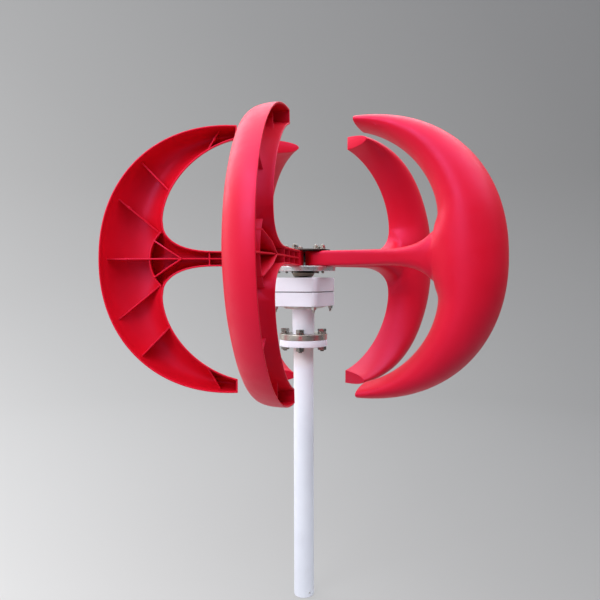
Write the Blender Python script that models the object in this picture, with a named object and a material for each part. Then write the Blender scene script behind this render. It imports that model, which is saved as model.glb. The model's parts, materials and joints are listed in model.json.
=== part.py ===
"""Vertical axis wind turbine: five moulded scoop blades clamped in a hub on a
square generator, which stands on a flanged neck and a tubular mast.

Lengths below are millimetres; the model is built in metres. The origin is the
centre of the mast's foot, +Z is up and the rotor turns about Z."""

import math

import bmesh
import bpy
from mathutils import Matrix, Vector

for old in list(bpy.data.objects):
    bpy.data.objects.remove(old, do_unlink=True)

MM = 0.001
GAP = 0.3

# ---------------------------------------------------------------- levels
MID_Z = 761.0            # rotor mid-plane above the mast's foot
TOP = Matrix.Translation((0.0, 0.0, MID_Z * MM))

# ---------------------------------------------------------------- blade
BLADES = 5
BLADE_AZIMUTH = -28.1    # first blade, degrees from +X towards +Y
WALL = 3.4
RIM_LEVEL = 3.8          # tangential level of the open rim
RIM_CENTRE, RIM_A, RIM_B, RIM_POWER = 154.6, 295.4, 299.7, 2.16
TIP_R = 149.2            # the arms end in a wall at this radius
HOLE_R, HOLE_A = 106.9, 206.1
HOLE_Z, HOLE_B, HOLE_POWER = 84.7, 190.6, 1.80
FILLET_R, FILLET_A, FILLET_B, FILLET_POWER = 194.0, 119.0, 67.7, 2.44
STEM_END = 17.5          # the stem's inner end is hollowed to this radius about the shaft
NOSE_R, NOSE_T = 33.0, -16.0   # its back corner is cut off, from this radius to this tangential level
STEM_BLOCK = 66.0        # the stem is solid inside this radius
SCOOP_DEPTH, TIP_LESS, TIP_POWER = 74.0, 14.1, 1.4
CREST_MID, CREST_LESS = 0.507, 0.159      # where across the scoop its deepest line runs, and how much nearer the rim at the tips
CREST_START, CREST_RANGE = 129.0, 167.0
STEM_DEPTH, ROOT_DEPTH = 29.5, 50.0
ROOT_POWER, ROOT_SOFT, ROOT_BLEND = 3.2, 1.6, 20.0   # shape of the stem's root: squareness, softness of its sides, easing along the radius
RIM_SOFT = 0.19          # the wall leaves the rim less steeply towards the tips
RIM_JUNCTION_Z = 112.0
TWIST = 0.015            # lean of the blade about its stem, radians
RIB = 3.0
CLAMP_RADII = (37.0, 54.0)
CLAMP_T = -10.0

# ---------------------------------------------------------------- hub
STEM_HALF = HOLE_Z - FILLET_B
DISC_R, DISC_TOP, DISC_BOTTOM = 73.0, -(STEM_HALF + GAP), -28.0
PLATE_R, PLATE_BOTTOM, PLATE_TOP = 61.0, STEM_HALF + GAP, 20.8
SPIGOT_R, SPIGOT_TOP = 16.0, -8.0
CLAMP_D, CLAMP_AF, CLAMP_HOLE_R = 6.0, 10.0, 3.6
SHAFT_R, THREAD_R, CORE_SEAT_R, FOOT_R = 10.0, 8.0, 11.0, 8.5

# ---------------------------------------------------------------- generator
BOX_SIDE, BOX_RADIUS, BOX_TURN = 112.0, 10.0, -25.0
BOX_TOP, BOX_SEAM, BOX_BOTTOM = -42.5, -74.5, -106.5
SEAM_HALF = 1.0
BOX_BOLT = 46.5          # corner bolts, from the centre along each side
CAVITY_R = 48.6
TEETH = 12
POLES = 8

# ---------------------------------------------------------------- neck, mast
NECK_R, NECK_BORE = 25.0, 21.0
NECK_PLATE_R, NECK_PLATE_EDGE = 50.0, -108.6      # the plate under the housing tapers towards the tube
NECK_PLATE_FOOT, NECK_PLATE_BOTTOM = 29.0, -113.8
SCREW_SEAT = -109.4
NECK_FLANGE_TOP, NECK_FLANGE_BOTTOM = -169.1, -182.0
MAST_FLANGE_TOP, MAST_FLANGE_BOTTOM = -182.3, -197.1
FLANGE_R = 54.0
MAST_R, MAST_BORE = 22.5, 19.5
FLANGE_PITCH_R, FLANGE_AZIMUTH = 42.5, -100.0
FLANGE_D, FLANGE_AF = 10.0, 17.0
MAST_HOLE_Z, MAST_HOLE_R, MAST_HOLE_AZIMUTH = 9.0, 3.0, -55.0


# ================================================================ helpers
def material(name, colour, roughness, metallic):
    made = bpy.data.materials.new(name)
    made.use_nodes = True
    shader = made.node_tree.nodes["Principled BSDF"]
    shader.inputs["Base Color"].default_value = (*colour, 1.0)
    shader.inputs["Roughness"].default_value = roughness
    shader.inputs["Metallic"].default_value = metallic
    return made


RED = material("red_plastic", (0.56, 0.012, 0.028), 0.32, 0.0)
WHITE = material("white_paint", (0.80, 0.79, 0.82), 0.38, 0.0)
ZINC = material("zinc_steel", (0.60, 0.60, 0.60), 0.35, 1.0)
DARK = material("dark_steel", (0.22, 0.22, 0.23), 0.45, 1.0)
ALUMINIUM = material("cast_aluminium", (0.72, 0.72, 0.74), 0.42, 1.0)
STEEL = material("bearing_steel", (0.55, 0.55, 0.56), 0.22, 1.0)
RUBBER = material("black_rubber", (0.02, 0.02, 0.02), 0.75, 0.0)
COPPER = material("copper_wire", (0.62, 0.26, 0.10), 0.35, 1.0)
LAMINATE = material("core_steel", (0.16, 0.16, 0.17), 0.55, 1.0)
MAGNET = material("plated_magnet", (0.48, 0.47, 0.46), 0.30, 1.0)


def mesh_of(name, verts, faces):
    """A mesh from millimetre points, its faces turned outwards."""
    mesh = bpy.data.meshes.new(name)
    mesh.from_pydata([Vector(v) * MM for v in verts], [], faces)
    work = bmesh.new()
    work.from_mesh(mesh)
    bmesh.ops.recalc_face_normals(work, faces=work.faces)
    work.to_mesh(mesh)
    work.free()
    return mesh


def ring(count, radius, z, phase=0.0):
    return [(radius * math.cos(phase + 2 * math.pi * i / count),
             radius * math.sin(phase + 2 * math.pi * i / count), z) for i in range(count)]


def hexagon(across, z, count=12):
    """Hexagon outline with a point at each corner and at each flat's middle."""
    corner = across / math.sqrt(3.0)
    return [((corner if i % 2 == 0 else across / 2) * math.cos(2 * math.pi * i / count),
             (corner if i % 2 == 0 else across / 2) * math.sin(2 * math.pi * i / count), z)
            for i in range(count)]


def rounded_square(side, radius, z, steps=4):
    half = side / 2 - radius
    points = []
    for corner in range(4):
        for step in range(steps + 1):
            angle = math.pi / 2 * (corner + step / steps)
            cx = half * (1 if corner in (0, 3) else -1)
            cy = half * (1 if corner in (0, 1) else -1)
            points.append((cx + radius * math.cos(angle), cy + radius * math.sin(angle), z))
    return points


def loft(rings, cyclic=False):
    """Points and faces of the skin through equal rings, capped unless cyclic."""
    count = len(rings[0])
    verts = [p for loop in rings for p in loop]
    faces = []
    for k in range(len(rings) if cyclic else len(rings) - 1):
        a, b = k * count, ((k + 1) % len(rings)) * count
        for i in range(count):
            j = (i + 1) % count
            faces.append((a + i, a + j, b + j, b + i))
    if not cyclic:
        faces.append(tuple(range(count)))
        faces.append(tuple(range(len(verts) - count, len(verts))))
    return verts, faces


def turned(profile, count):
    """Points and faces of a turned solid: the profile closes on itself, or starts and ends on the axis."""
    if profile[0][0] > 0 and profile[-1][0] > 0:
        return loft([ring(count, r, z) for r, z in profile], cyclic=True)
    verts, faces, rows = [], [], []
    for r, z in profile:
        if r == 0:
            rows.append([len(verts)] * count)
            verts.append((0.0, 0.0, z))
        else:
            rows.append(list(range(len(verts), len(verts) + count)))
            verts.extend(ring(count, r, z))
    for low, high in zip(rows, rows[1:]):
        for i in range(count):
            j = (i + 1) % count
            face = []
            for v in (low[i], low[j], high[j], high[i]):
                if v not in face:
                    face.append(v)
            if len(face) > 2:
                faces.append(tuple(face))
    return verts, faces


def placed(shape, matrix):
    """A shape moved by a matrix whose translation is in millimetres."""
    verts, faces = shape
    return [tuple(matrix @ Vector(v)) for v in verts], faces


def turn(degrees):
    return Matrix.Rotation(math.radians(degrees), 4, "Z")


def at(radius, degrees, z=0.0):
    return turn(degrees) @ Matrix.Translation((radius, 0.0, z))


def stack(rows, sides=12):
    """A solid built up along Z from (outline, size, level) rows, an outline being round or a hexagon across its flats."""
    return loft([hexagon(size, z) if outline == "hex" else ring(sides, size, z) for outline, size, z in rows])


def nut(across, height, bore_r, sides=12):
    return loft([hexagon(across, 0.0), hexagon(across, height), ring(sides, bore_r, height), ring(sides, bore_r, 0.0)], cyclic=True)


def box(x0, x1, y0, y1, z0, z1):
    return loft([[(x0, y0, z), (x1, y0, z), (x1, y1, z), (x0, y1, z)] for z in (z0, z1)])


def sector(inner, outer, start, sweep, z0, z1, steps):
    """Arc block between two radii, angles in degrees."""
    rings = []
    for k in range(steps + 1):
        a = math.radians(start + sweep * k / steps)
        c, s = math.cos(a), math.sin(a)
        rings.append([(inner * c, inner * s, z0), (outer * c, outer * s, z0),
                      (outer * c, outer * s, z1), (inner * c, inner * s, z1)])
    return loft(rings)


def ball(radius, sides=6, rows=4):
    profile = [(radius * math.sin(math.pi * k / rows), -radius * math.cos(math.pi * k / rows)) for k in range(rows + 1)]
    profile[0], profile[-1] = (0.0, -radius), (0.0, radius)
    return turned(profile, sides)


rotor = bpy.data.objects.new("rotor_axis", None)
bpy.context.scene.collection.objects.link(rotor)
rotor.matrix_world = TOP


def smooth(mesh, degrees=40.0):
    for face in mesh.polygons:
        face.use_smooth = True
    mesh.set_sharp_from_angle(angle=math.radians(degrees))


def add(name, shape, stuff, moves=False, matrix=None):
    """Puts a piece in the scene, with its origin on the rotor's axis at the rotor's mid-plane."""
    mesh = shape if isinstance(shape, bpy.types.Mesh) else mesh_of(name, *shape)
    if not mesh.materials:
        mesh.materials.append(stuff)
    smooth(mesh)
    obj = bpy.data.objects.new(name, mesh)
    bpy.context.scene.collection.objects.link(obj)
    local = matrix if matrix is not None else Matrix.Identity(4)
    if moves:
        obj.parent = rotor
        obj.matrix_local = local
    else:
        obj.matrix_world = TOP @ local
    return obj


def worked(name, shape, steps):
    """The mesh left after a list of (operation, tool shape) Boolean steps."""
    obj = bpy.data.objects.new(name, mesh_of(name, *shape))
    bpy.context.scene.collection.objects.link(obj)
    tools = []
    for index, (operation, tool) in enumerate(steps):
        other = bpy.data.objects.new(f"{name}_tool_{index}", mesh_of(f"{name}_tool_{index}", *tool))
        bpy.context.scene.collection.objects.link(other)
        other.hide_render = True
        other.display_type = "WIRE"
        tools.append(other)
        change = obj.modifiers.new(f"step_{index}", "BOOLEAN")
        change.operation = operation
        change.solver = "EXACT"
        change.object = other
    bpy.context.view_layer.update()
    mesh = bpy.data.meshes.new_from_object(obj.evaluated_get(bpy.context.evaluated_depsgraph_get()))
    mesh.name = name
    for gone in [obj, *tools]:
        bpy.data.objects.remove(gone, do_unlink=True)
    work = bmesh.new()
    work.from_mesh(mesh)
    bmesh.ops.dissolve_degenerate(work, dist=1e-6, edges=work.edges)
    work.to_mesh(mesh)
    work.free()
    return mesh


def drill(radius, z0, z1, sides=12):
    return loft([ring(sides, radius, z0), ring(sides, radius, z1)])


# ================================================================ the blade's form
def ease(x):
    x = min(max(x, 0.0), 1.0)
    return x * x * (3.0 - 2.0 * x)


def arch(x, power):
    return max(0.0, 1.0 - min(abs(x), 1.0) ** power) ** (1.0 / power)


def outer_rim(theta, inset):
    c, s, e = math.cos(theta), math.sin(theta), 2.0 / RIM_POWER
    return (RIM_CENTRE + math.copysign(abs(c) ** e, c) * (RIM_A - inset), s ** e * (RIM_B - inset))


def rim_angle_at_r(r, inset):
    x = (r - RIM_CENTRE) / (RIM_A - inset)
    return math.acos(math.copysign(abs(x) ** (RIM_POWER / 2.0), x))


def rim_angle_at_z(z, inset):
    return math.asin((z / (RIM_B - inset)) ** (RIM_POWER / 2.0))


def hole_edge(phi, inset):
    e = 2.0 / HOLE_POWER
    return (HOLE_R + (HOLE_A + inset) * math.cos(phi) ** e, HOLE_Z + (HOLE_B + inset) * math.sin(phi) ** e)


def hole_angle_at_r(r, inset):
    return math.acos(((r - HOLE_R) / (HOLE_A + inset)) ** (HOLE_POWER / 2.0))


def stem_half(r, inset):
    """Half the height of the stem, which flares into the scoop."""
    if r <= FILLET_R:
        return HOLE_Z - (FILLET_B + inset)
    return HOLE_Z - (FILLET_B + inset) * arch((r - FILLET_R) / (FILLET_A + inset), FILLET_POWER)


def form(r, z, inset):
    """How far the stem and the scoop together lie behind the rim at a radius and height."""
    z = abs(z)
    gauge = (abs((r - RIM_CENTRE) / (RIM_A - inset)) ** RIM_POWER + (z / (RIM_B - inset)) ** RIM_POWER) ** (1.0 / RIM_POWER)
    to_rim = math.hypot(r - RIM_CENTRE, z) * (1.0 / gauge - 1.0) if gauge > 1e-9 else 1e9
    over = max(z - HOLE_Z, 0.0)
    gauge = (max((r - HOLE_R) / (HOLE_A + inset), 0.0) ** HOLE_POWER + (over / (HOLE_B + inset)) ** HOLE_POWER) ** (1.0 / HOLE_POWER)
    to_hole = math.hypot(r - HOLE_R, over) * (1.0 - 1.0 / gauge) if gauge > 1e-9 else -1e9
    scoop = 0.0
    if to_rim > 0.0 and to_hole > 0.0:
        u = to_rim / (to_rim + to_hole)
        towards_tip = ease((z - CREST_START) / CREST_RANGE)
        p = CREST_MID - CREST_LESS * towards_tip
        full = SCOOP_DEPTH - TIP_LESS * (z / RIM_B) ** TIP_POWER - inset
        scoop = full * (u / p) ** (p * (1.0 + RIM_SOFT * towards_tip)) * ((1.0 - u) / (1.0 - p)) ** (1.0 - p)
    edge = HOLE_R + HOLE_A + inset
    if r <= edge:
        half = stem_half(r, inset)
        deep = STEM_DEPTH + (ROOT_DEPTH - STEM_DEPTH) * ease((r - 120.0) / (edge - 120.0)) - inset
        power = 8.0 - (8.0 - ROOT_POWER) * ease((r - 60.0) / (edge - 90.0))
        stem = deep * arch(z / half, power) ** (1.0 + ROOT_SOFT * ease((r - edge + 15.0) / 15.0)) if z < half else 0.0
    else:
        half = HOLE_Z + (r - edge)
        stem = (ROOT_DEPTH - inset) * (1.0 - ease((r - edge) / 95.0)) * arch(z / half, ROOT_POWER) ** (1.0 + ROOT_SOFT + 1.5 * ease((r - edge) / 15.0))
    return (scoop ** 2.5 + stem ** 2.5) ** 0.4


def depth(r, z, inset):
    """The shell's depth: the form, with the bend between stem and scoop eased along the radius."""
    edge = HOLE_R + HOLE_A + inset
    half = stem_half(r, inset) if r <= edge else HOLE_Z + r - edge
    reach = ROOT_BLEND * ease((r - edge + 60.0) / 40.0) * (1.0 - ease((r - edge - 20.0) / 40.0)) * (1.0 - ease((abs(z) / half - 0.12) / 0.38))
    if reach < 0.1:
        return form(r, z, inset)
    return sum(weight * form(r + reach * step, z, inset) for step, weight in ((-1.0, 1.0), (-0.5, 2.0), (0.0, 2.0), (0.5, 2.0), (1.0, 1.0))) / 8.0


def blade_shell(arm, middle, across, fillet, stem):
    """Closed shell: an outer and an inner skin of the same form, joined by a flat rim, end walls at the tips and a solid end to the stem."""
    verts, faces = [], []
    skins = []
    for inset in (0.0, WALL):
        tip = TIP_R + inset
        theta_tip, theta_low = rim_angle_at_r(tip, inset), rim_angle_at_z(RIM_JUNCTION_Z, inset)
        phi_tip = hole_angle_at_r(tip, inset)
        edge = HOLE_R + HOLE_A + inset
        ends = []
        for k in range(arm, 0, -1):
            part = k / arm
            ends.append((outer_rim(theta_low + (theta_tip - theta_low) * part, inset), hole_edge(phi_tip * part, inset), True))
        for k in range(middle + 1):
            level = math.sin(math.pi / 2 * (1.0 - 2.0 * k / middle))
            z_rim = RIM_JUNCTION_Z * level
            r_rim = outer_rim(rim_angle_at_z(abs(z_rim), inset), inset)[0]
            ends.append(((r_rim, z_rim), (edge, HOLE_Z * level), k in (0, middle)))
        for k in range(1, arm + 1):
            part = k / arm
            a, c = outer_rim(theta_low + (theta_tip - theta_low) * part, inset), hole_edge(phi_tip * part, inset)
            ends.append(((a[0], -a[1]), (c[0], -c[1]), True))
        grid = []
        for a, c, free in ends:
            row = []
            for j in range(across + 1):
                v = 0.5 - 0.5 * math.cos(math.pi * j / across)
                r, z = a[0] + (c[0] - a[0]) * v, a[1] + (c[1] - a[1]) * v
                on_rim = j == 0 or (j == across and free)
                row.append(len(verts))
                verts.append((r, RIM_LEVEL - (0.0 if on_rim else depth(r, z, inset)), z))
            grid.append(row)
        strip = [[grid[arm + k][across] for k in range(middle + 1)]]
        inner_end = STEM_END / 2 if inset == 0.0 else STEM_BLOCK
        radii = []
        for k in range(1, fillet + 1):
            angle = math.pi / 2 * k / fillet
            radii.append(FILLET_R + (FILLET_A + inset) * math.cos(angle) ** (2.0 / FILLET_POWER))
        radii[-1] = FILLET_R
        radii.extend(FILLET_R + (inner_end - FILLET_R) * k / stem for k in range(1, stem + 1))
        for r in radii:
            row = []
            for k in range(middle + 1):
                z = stem_half(r, inset) * math.sin(math.pi / 2 * (1.0 - 2.0 * k / middle))
                on_rim = k in (0, middle)
                row.append(len(verts))
                verts.append((r, RIM_LEVEL - (0.0 if on_rim else depth(r, z, inset)), z))
            strip.append(row)
        for rows in (grid, strip):
            for low, high in zip(rows, rows[1:]):
                for i in range(len(low) - 1):
                    faces.append((low[i], low[i + 1], high[i + 1], high[i]))
        faces.append(tuple(grid[0]))
        faces.append(tuple(grid[-1]))
        faces.append(tuple(strip[-1]))
        upper = [row[across] for row in grid[:arm + 1]] + [row[0] for row in strip[1:]]
        lower = [row[-1] for row in strip[:0:-1]] + [row[across] for row in grid[arm + middle:]]
        skins.append([row[0] for row in grid] + lower[::-1] + upper[::-1])
    outside, inside = skins
    for i in range(len(outside)):
        j = (i + 1) % len(outside)
        faces.append((outside[i], outside[j], inside[j], inside[i]))
    return verts, faces


def middle_of_wall(r, z):
    return RIM_LEVEL - depth(r, z, WALL / 2)


def rib(path, tops, thickness=RIB):
    """A plate standing on the shell along a path, from the middle of the wall up to its free edge."""
    rings = []
    for k, (r, z) in enumerate(path):
        before, after = path[max(k - 1, 0)], path[min(k + 1, len(path) - 1)]
        along = Vector((after[0] - before[0], after[1] - before[1])).normalized()
        side = Vector((-along.y, along.x)) * (thickness / 2)
        floor = middle_of_wall(r, z)
        top = max(tops[k], floor + 0.4)
        rings.append([(r + side.x, floor, z + side.y), (r - side.x, floor, z - side.y),
                      (r - side.x, top, z - side.y), (r + side.x, top, z + side.y)])
    return loft(rings)


def bridging_rib(inner, outer, top_inner, top_outer, steps):
    """A rib whose straight free edge runs from wall to wall of the scoop, given two points of its line."""
    def point(x):
        return (inner[0] + (outer[0] - inner[0]) * x, inner[1] + (outer[1] - inner[1]) * x)

    def height(x):
        return top_inner + (top_outer - top_inner) * x - middle_of_wall(*point(x))

    limits = []
    for start, way in ((0.5, -1.0), (0.5, 1.0)):
        low, high = start, start + way * 1.5
        for _ in range(60):
            x = low + way * 0.02
            if height(x) <= 0.0 or abs(x - start) > 1.5:
                high = x
                break
            low = x
        for _ in range(30):
            x = (low + high) / 2
            low, high = (x, high) if height(x) > 0.0 else (low, x)
        limits.append(low)
    path, tops = [], []
    for k in range(steps + 1):
        x = limits[0] + (limits[1] - limits[0]) * (0.5 - 0.5 * math.cos(math.pi * k / steps))
        path.append(point(x))
        tops.append(top_inner + (top_outer - top_inner) * x)
    return rib(path, tops)


def blade_ribs(steps):
    spine = [STEM_BLOCK - 3.0, FILLET_R, 252.0, 310.0, 343.0, 388.0, 418.0, 438.0]
    made = [rib([(r, 0.0) for r in spine], [2.0, 1.0, 0.0, -4.5, -11.0, -19.0, -26.5, -31.0])]
    path = [(258.0 + 85.0 * math.cos(math.radians(a)), 85.0 * math.sin(math.radians(a))) for a in (-45.0, -22.5, 0.0, 22.5, 45.0)]
    made.append(rib(path, [-15.0] * 5))
    for way in (1.0, -1.0):
        made.append(bridging_rib((296.0, 148.5 * way), (355.5, 210.5 * way), -17.0, -21.0, steps))
        made.append(bridging_rib((332.0, 67.5 * way), (406.0, 129.5 * way), -36.0, -31.0, steps))
    return made


def leaned(shape):
    """The blade's slight lean about its stem, whose clamped end stays level."""
    verts, faces = shape
    return [(r, t - TWIST * z, z + TWIST * t * ease((r - 70.0) / 60.0)) for r, t, z in verts], faces


def nose_cut():
    """Takes the back corner off the stem's inner end, so that the five ends clear each other about the shaft."""
    low = RIM_LEVEL - STEM_DEPTH
    slope = (low - NOSE_T) / (NOSE_R - STEM_END)
    inner, outer = STEM_END / 4, NOSE_R + 10.0
    outline = [(inner, NOSE_T + slope * (inner - STEM_END)), (outer, NOSE_T + slope * (outer - STEM_END)), (outer, low - 15.0), (inner, low - 15.0)]
    return loft([[(r, t, z) for r, t in outline] for z in (-STEM_HALF - 4.0, STEM_HALF + 4.0)])


def blade_mesh():
    steps = [("UNION", leaned(shape)) for shape in blade_ribs(4)]
    for radius in CLAMP_RADII:
        hole = placed(drill(CLAMP_HOLE_R, -STEM_HALF - 4.0, STEM_HALF + 4.0, 8), Matrix.Translation((radius, CLAMP_T, 0.0)))
        steps.append(("DIFFERENCE", hole))
    steps.append(("DIFFERENCE", nose_cut()))
    steps.append(("DIFFERENCE", drill(STEM_END, -STEM_HALF - 4.0, STEM_HALF + 4.0, 24)))
    return worked("scoop_blade", leaned(blade_shell(6, 8, 6, 3, 2)), steps)


AZIMUTHS = [BLADE_AZIMUTH + 360.0 / BLADES * k for k in range(BLADES)]
scoop = blade_mesh()
for index, azimuth in enumerate(AZIMUTHS):
    add(f"blade_{index + 1}", scoop, RED, True, turn(azimuth))

# ================================================================ hub
CLAMPS = [turn(a) @ Matrix.Translation((r, CLAMP_T, 0.0)) for a in AZIMUTHS for r in CLAMP_RADII]


def clamp_holes(z0, z1):
    return [("DIFFERENCE", placed(drill(CLAMP_HOLE_R, z0, z1, 8), m)) for m in CLAMPS]


disc = turned([(SHAFT_R + 0.5, DISC_BOTTOM), (DISC_R, DISC_BOTTOM), (DISC_R, DISC_TOP), (SPIGOT_R, DISC_TOP), (SPIGOT_R, SPIGOT_TOP), (SHAFT_R + 0.5, SPIGOT_TOP)], 32)
add("hub_flange", worked("hub_flange", disc, clamp_holes(DISC_BOTTOM - 3, DISC_TOP + 3) + [("DIFFERENCE", box(SHAFT_R - 2.0, SHAFT_R + 3.2, -2.8, 2.8, -31.0, -5.0))]),
    ALUMINIUM, True)
plate = loft([ring(32, PLATE_R, PLATE_BOTTOM), ring(32, PLATE_R, PLATE_TOP)])
add("hub_top_plate", worked("hub_top_plate", plate, clamp_holes(PLATE_BOTTOM - 3, PLATE_TOP + 3)), DARK, True)
SEATED = PLATE_TOP + GAP
clamp_bolt = stack([("round", CLAMP_D / 2, DISC_BOTTOM - 4.5), ("round", CLAMP_D / 2, SEATED), ("round", 6.0, SEATED), ("round", 6.0, SEATED + 1.5),
                    ("round", 5.1, SEATED + 1.5), ("round", 5.1, SEATED + 3.0), ("hex", CLAMP_AF, SEATED + 3.0), ("hex", CLAMP_AF, SEATED + 8.0),
                    ("round", CLAMP_D / 2, SEATED + 8.0), ("round", CLAMP_D / 2, SEATED + 10.6)])
clamp_mesh = mesh_of("clamp_bolt", *clamp_bolt)
for index, spot in enumerate(CLAMPS):
    spot = spot.copy()
    spot.translation *= MM
    add(f"blade_bolt_{index + 1}", clamp_mesh, ZINC, True, spot)

# ================================================================ shaft
shaft = turned([(0.0, -101.5), (FOOT_R, -101.5), (FOOT_R, -87.2), (CORE_SEAT_R, -87.2), (CORE_SEAT_R, -60.6), (SHAFT_R, -60.6),
                (SHAFT_R, -9.0), (THREAD_R, -9.0), (THREAD_R, 12.0), (0.0, 12.0)], 16)
add("generator_shaft", worked("generator_shaft", shaft, [("DIFFERENCE", box(SHAFT_R - 3.0, SHAFT_R + 3.0, -2.8, 2.8, -26.6, -15.6))]), STEEL, True)
add("hub_key", box(SHAFT_R - 2.6, SHAFT_R + 2.7, -2.5, 2.5, -26.2, -16.0), STEEL, True)
NUT = SPIGOT_TOP + GAP
add("shaft_nut", loft([ring(12, 16.0, NUT), ring(12, 16.0, NUT + 2.4), hexagon(24.0, NUT + 2.4), hexagon(24.0, NUT + 13.2), ring(12, 11.0, NUT + 14.4),
                       ring(12, THREAD_R + 0.6, NUT + 14.4), ring(12, THREAD_R + 0.6, NUT)], cyclic=True), ZINC, True)
add("shaft_collar", turned([(SHAFT_R + 0.6, -39.8), (22.0, -39.8), (27.0, -29.6), (27.0, DISC_BOTTOM - GAP), (SHAFT_R + 0.6, DISC_BOTTOM - GAP)], 24), DARK, True)
add("dust_ring", turned([(SHAFT_R + 0.6, -42.0), (20.0, -42.0), (20.0, -40.2), (SHAFT_R + 0.6, -40.2)], 20), RUBBER, True)

# ================================================================ generator housing
BOX = turn(BOX_TURN)
CORNERS = [(x * BOX_BOLT, y * BOX_BOLT) for x, y in ((1, 1), (-1, 1), (-1, -1), (1, -1))]


def corner_cut(radius, z0, z1):
    return [("DIFFERENCE", placed(drill(radius, z0, z1, 8), Matrix.Translation((x, y, 0.0)))) for x, y in CORNERS]


def box_at(inset, z):
    return rounded_square(BOX_SIDE - 2 * inset, BOX_RADIUS - inset, z)


upper_block = loft([box_at(1.8, BOX_SEAM + SEAM_HALF), box_at(0.0, BOX_SEAM + SEAM_HALF + 1.8), box_at(0.0, BOX_TOP - 2.0), box_at(2.0, BOX_TOP)])
upper_bore = turned([(0.0, -40.0), (15.0, -40.0), (15.0, -46.0), (23.9, -46.0), (23.9, -60.5), (25.3, -60.5), (25.3, -62.1), (23.9, -62.1),
                     (23.9, -63.2), (29.4, -63.2), (29.4, -50.5), (CAVITY_R, -50.5), (CAVITY_R, -80.0), (0.0, -80.0)], 32)
upper = worked("upper_housing", upper_block, [("DIFFERENCE", upper_bore)] + corner_cut(3.6, -90.0, -44.0) + corner_cut(5.8, -49.0, -40.0))
add("upper_housing", upper, WHITE, False, BOX)

lower_block = loft([box_at(2.0, BOX_BOTTOM), box_at(0.0, BOX_BOTTOM + 2.0), box_at(0.0, BOX_SEAM - SEAM_HALF - 1.8), box_at(1.8, BOX_SEAM - SEAM_HALF)])
lower_bore = turned([(0.0, -101.8), (20.4, -101.8), (20.4, -87.2), (26.0, -87.2), (26.0, -98.5), (CAVITY_R, -98.5), (CAVITY_R, -70.0), (0.0, -70.0)], 32)
SCREWS = [at(41.0, 45.0 + 90.0 * k) for k in range(4)]
cuts = [("DIFFERENCE", lower_bore)] + corner_cut(3.6, -110.0, -70.0)
cuts += [("DIFFERENCE", placed(drill(3.1, -110.0, -101.0, 8), m)) for m in SCREWS]
cuts += [("DIFFERENCE", placed(drill(3.7, -112.0, -95.0, 8), at(31.0, 0.0))), ("DIFFERENCE", box(12.0, 31.0, -3.0, 3.0, -112.0, -103.4))]
add("lower_housing", worked("lower_housing", lower_block, cuts), WHITE, False, BOX)

gasket = loft([box_at(3.2, BOX_SEAM - 0.7), box_at(3.2, BOX_SEAM + 0.7)])
add("housing_gasket", worked("housing_gasket", gasket, [("DIFFERENCE", drill(CAVITY_R + 0.2, -80.0, -70.0, 32))] + corner_cut(3.6, -80.0, -70.0)), RUBBER, False, BOX)
corner_bolt = stack([("round", 3.0, -119.6), ("round", 3.0, BOX_BOTTOM - GAP - 6.4), ("hex", 10.0, BOX_BOTTOM - GAP - 6.4), ("hex", 10.0, BOX_BOTTOM - GAP),
                     ("round", 3.0, BOX_BOTTOM - GAP), ("round", 3.0, -48.7),
                     ("round", 5.0, -48.7), ("round", 5.0, -42.8)])
corner_mesh = mesh_of("corner_bolt", *corner_bolt)
for index, (x, y) in enumerate(CORNERS):
    add(f"housing_bolt_{index + 1}", corner_mesh, ZINC, False, BOX @ Matrix.Translation((x * MM, y * MM, 0.0)))
add("lead_grommet", placed(turned([(1.6, -103.2), (3.0, -103.2), (3.0, -98.6), (1.6, -98.6)], 8), at(31.0, 0.0)), RUBBER, False, BOX)
add("shaft_seal", turned([(SHAFT_R + 0.6, -45.7), (14.5, -45.7), (14.5, -42.9), (SHAFT_R + 1.6, -42.9)], 20), RUBBER)

# ================================================================ bearings
def caged(radius, pitch, z):
    """A bearing's balls held in their cage."""
    cage = turned([(pitch - radius * 0.3, z - radius * 0.7), (pitch + radius * 0.3, z - radius * 0.7), (pitch + radius * 0.3, z + radius * 0.7), (pitch - radius * 0.3, z + radius * 0.7)], 16)
    return worked("bearing_cage", cage, [("UNION", placed(ball(radius), at(pitch, 60.0 * k + 3.0, z))) for k in range(6)])


add("upper_bearing_outer", turned([(20.8, -60.2), (23.5, -60.2), (23.5, -46.3), (20.8, -46.3)], 24), STEEL)
add("upper_bearing_inner", turned([(SHAFT_R + 0.5, -60.2), (13.1, -60.2), (13.1, -46.3), (SHAFT_R + 0.5, -46.3)], 20), STEEL, True)
add("upper_bearing_cage", caged(3.3, 16.9, -53.2), STEEL, True)
add("lower_bearing_outer", turned([(17.4, -99.4), (20.0, -99.4), (20.0, -87.5), (17.4, -87.5)], 24), STEEL)
add("lower_bearing_inner", turned([(FOOT_R + 0.5, -99.4), (11.4, -99.4), (11.4, -87.6), (FOOT_R + 0.5, -87.6)], 20), STEEL, True)
add("lower_bearing_cage", caged(2.6, 14.35, -93.5), STEEL, True)
add("bearing_circlip", sector(21.2, 24.8, 15.0, 330.0, -61.8, -60.8, 16), ZINC)
add("wave_washer", turned([(17.4, -101.4), (19.8, -101.4), (19.8, -99.8), (17.4, -99.8)], 20), STEEL)

# ================================================================ stator and rotor
CORE_LOW, CORE_HIGH = -87.4, -63.4
CORE_BORE, SLOT_R, CORE_R, TOOTH = 30.8, 40.5, 48.2, 7.0


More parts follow.
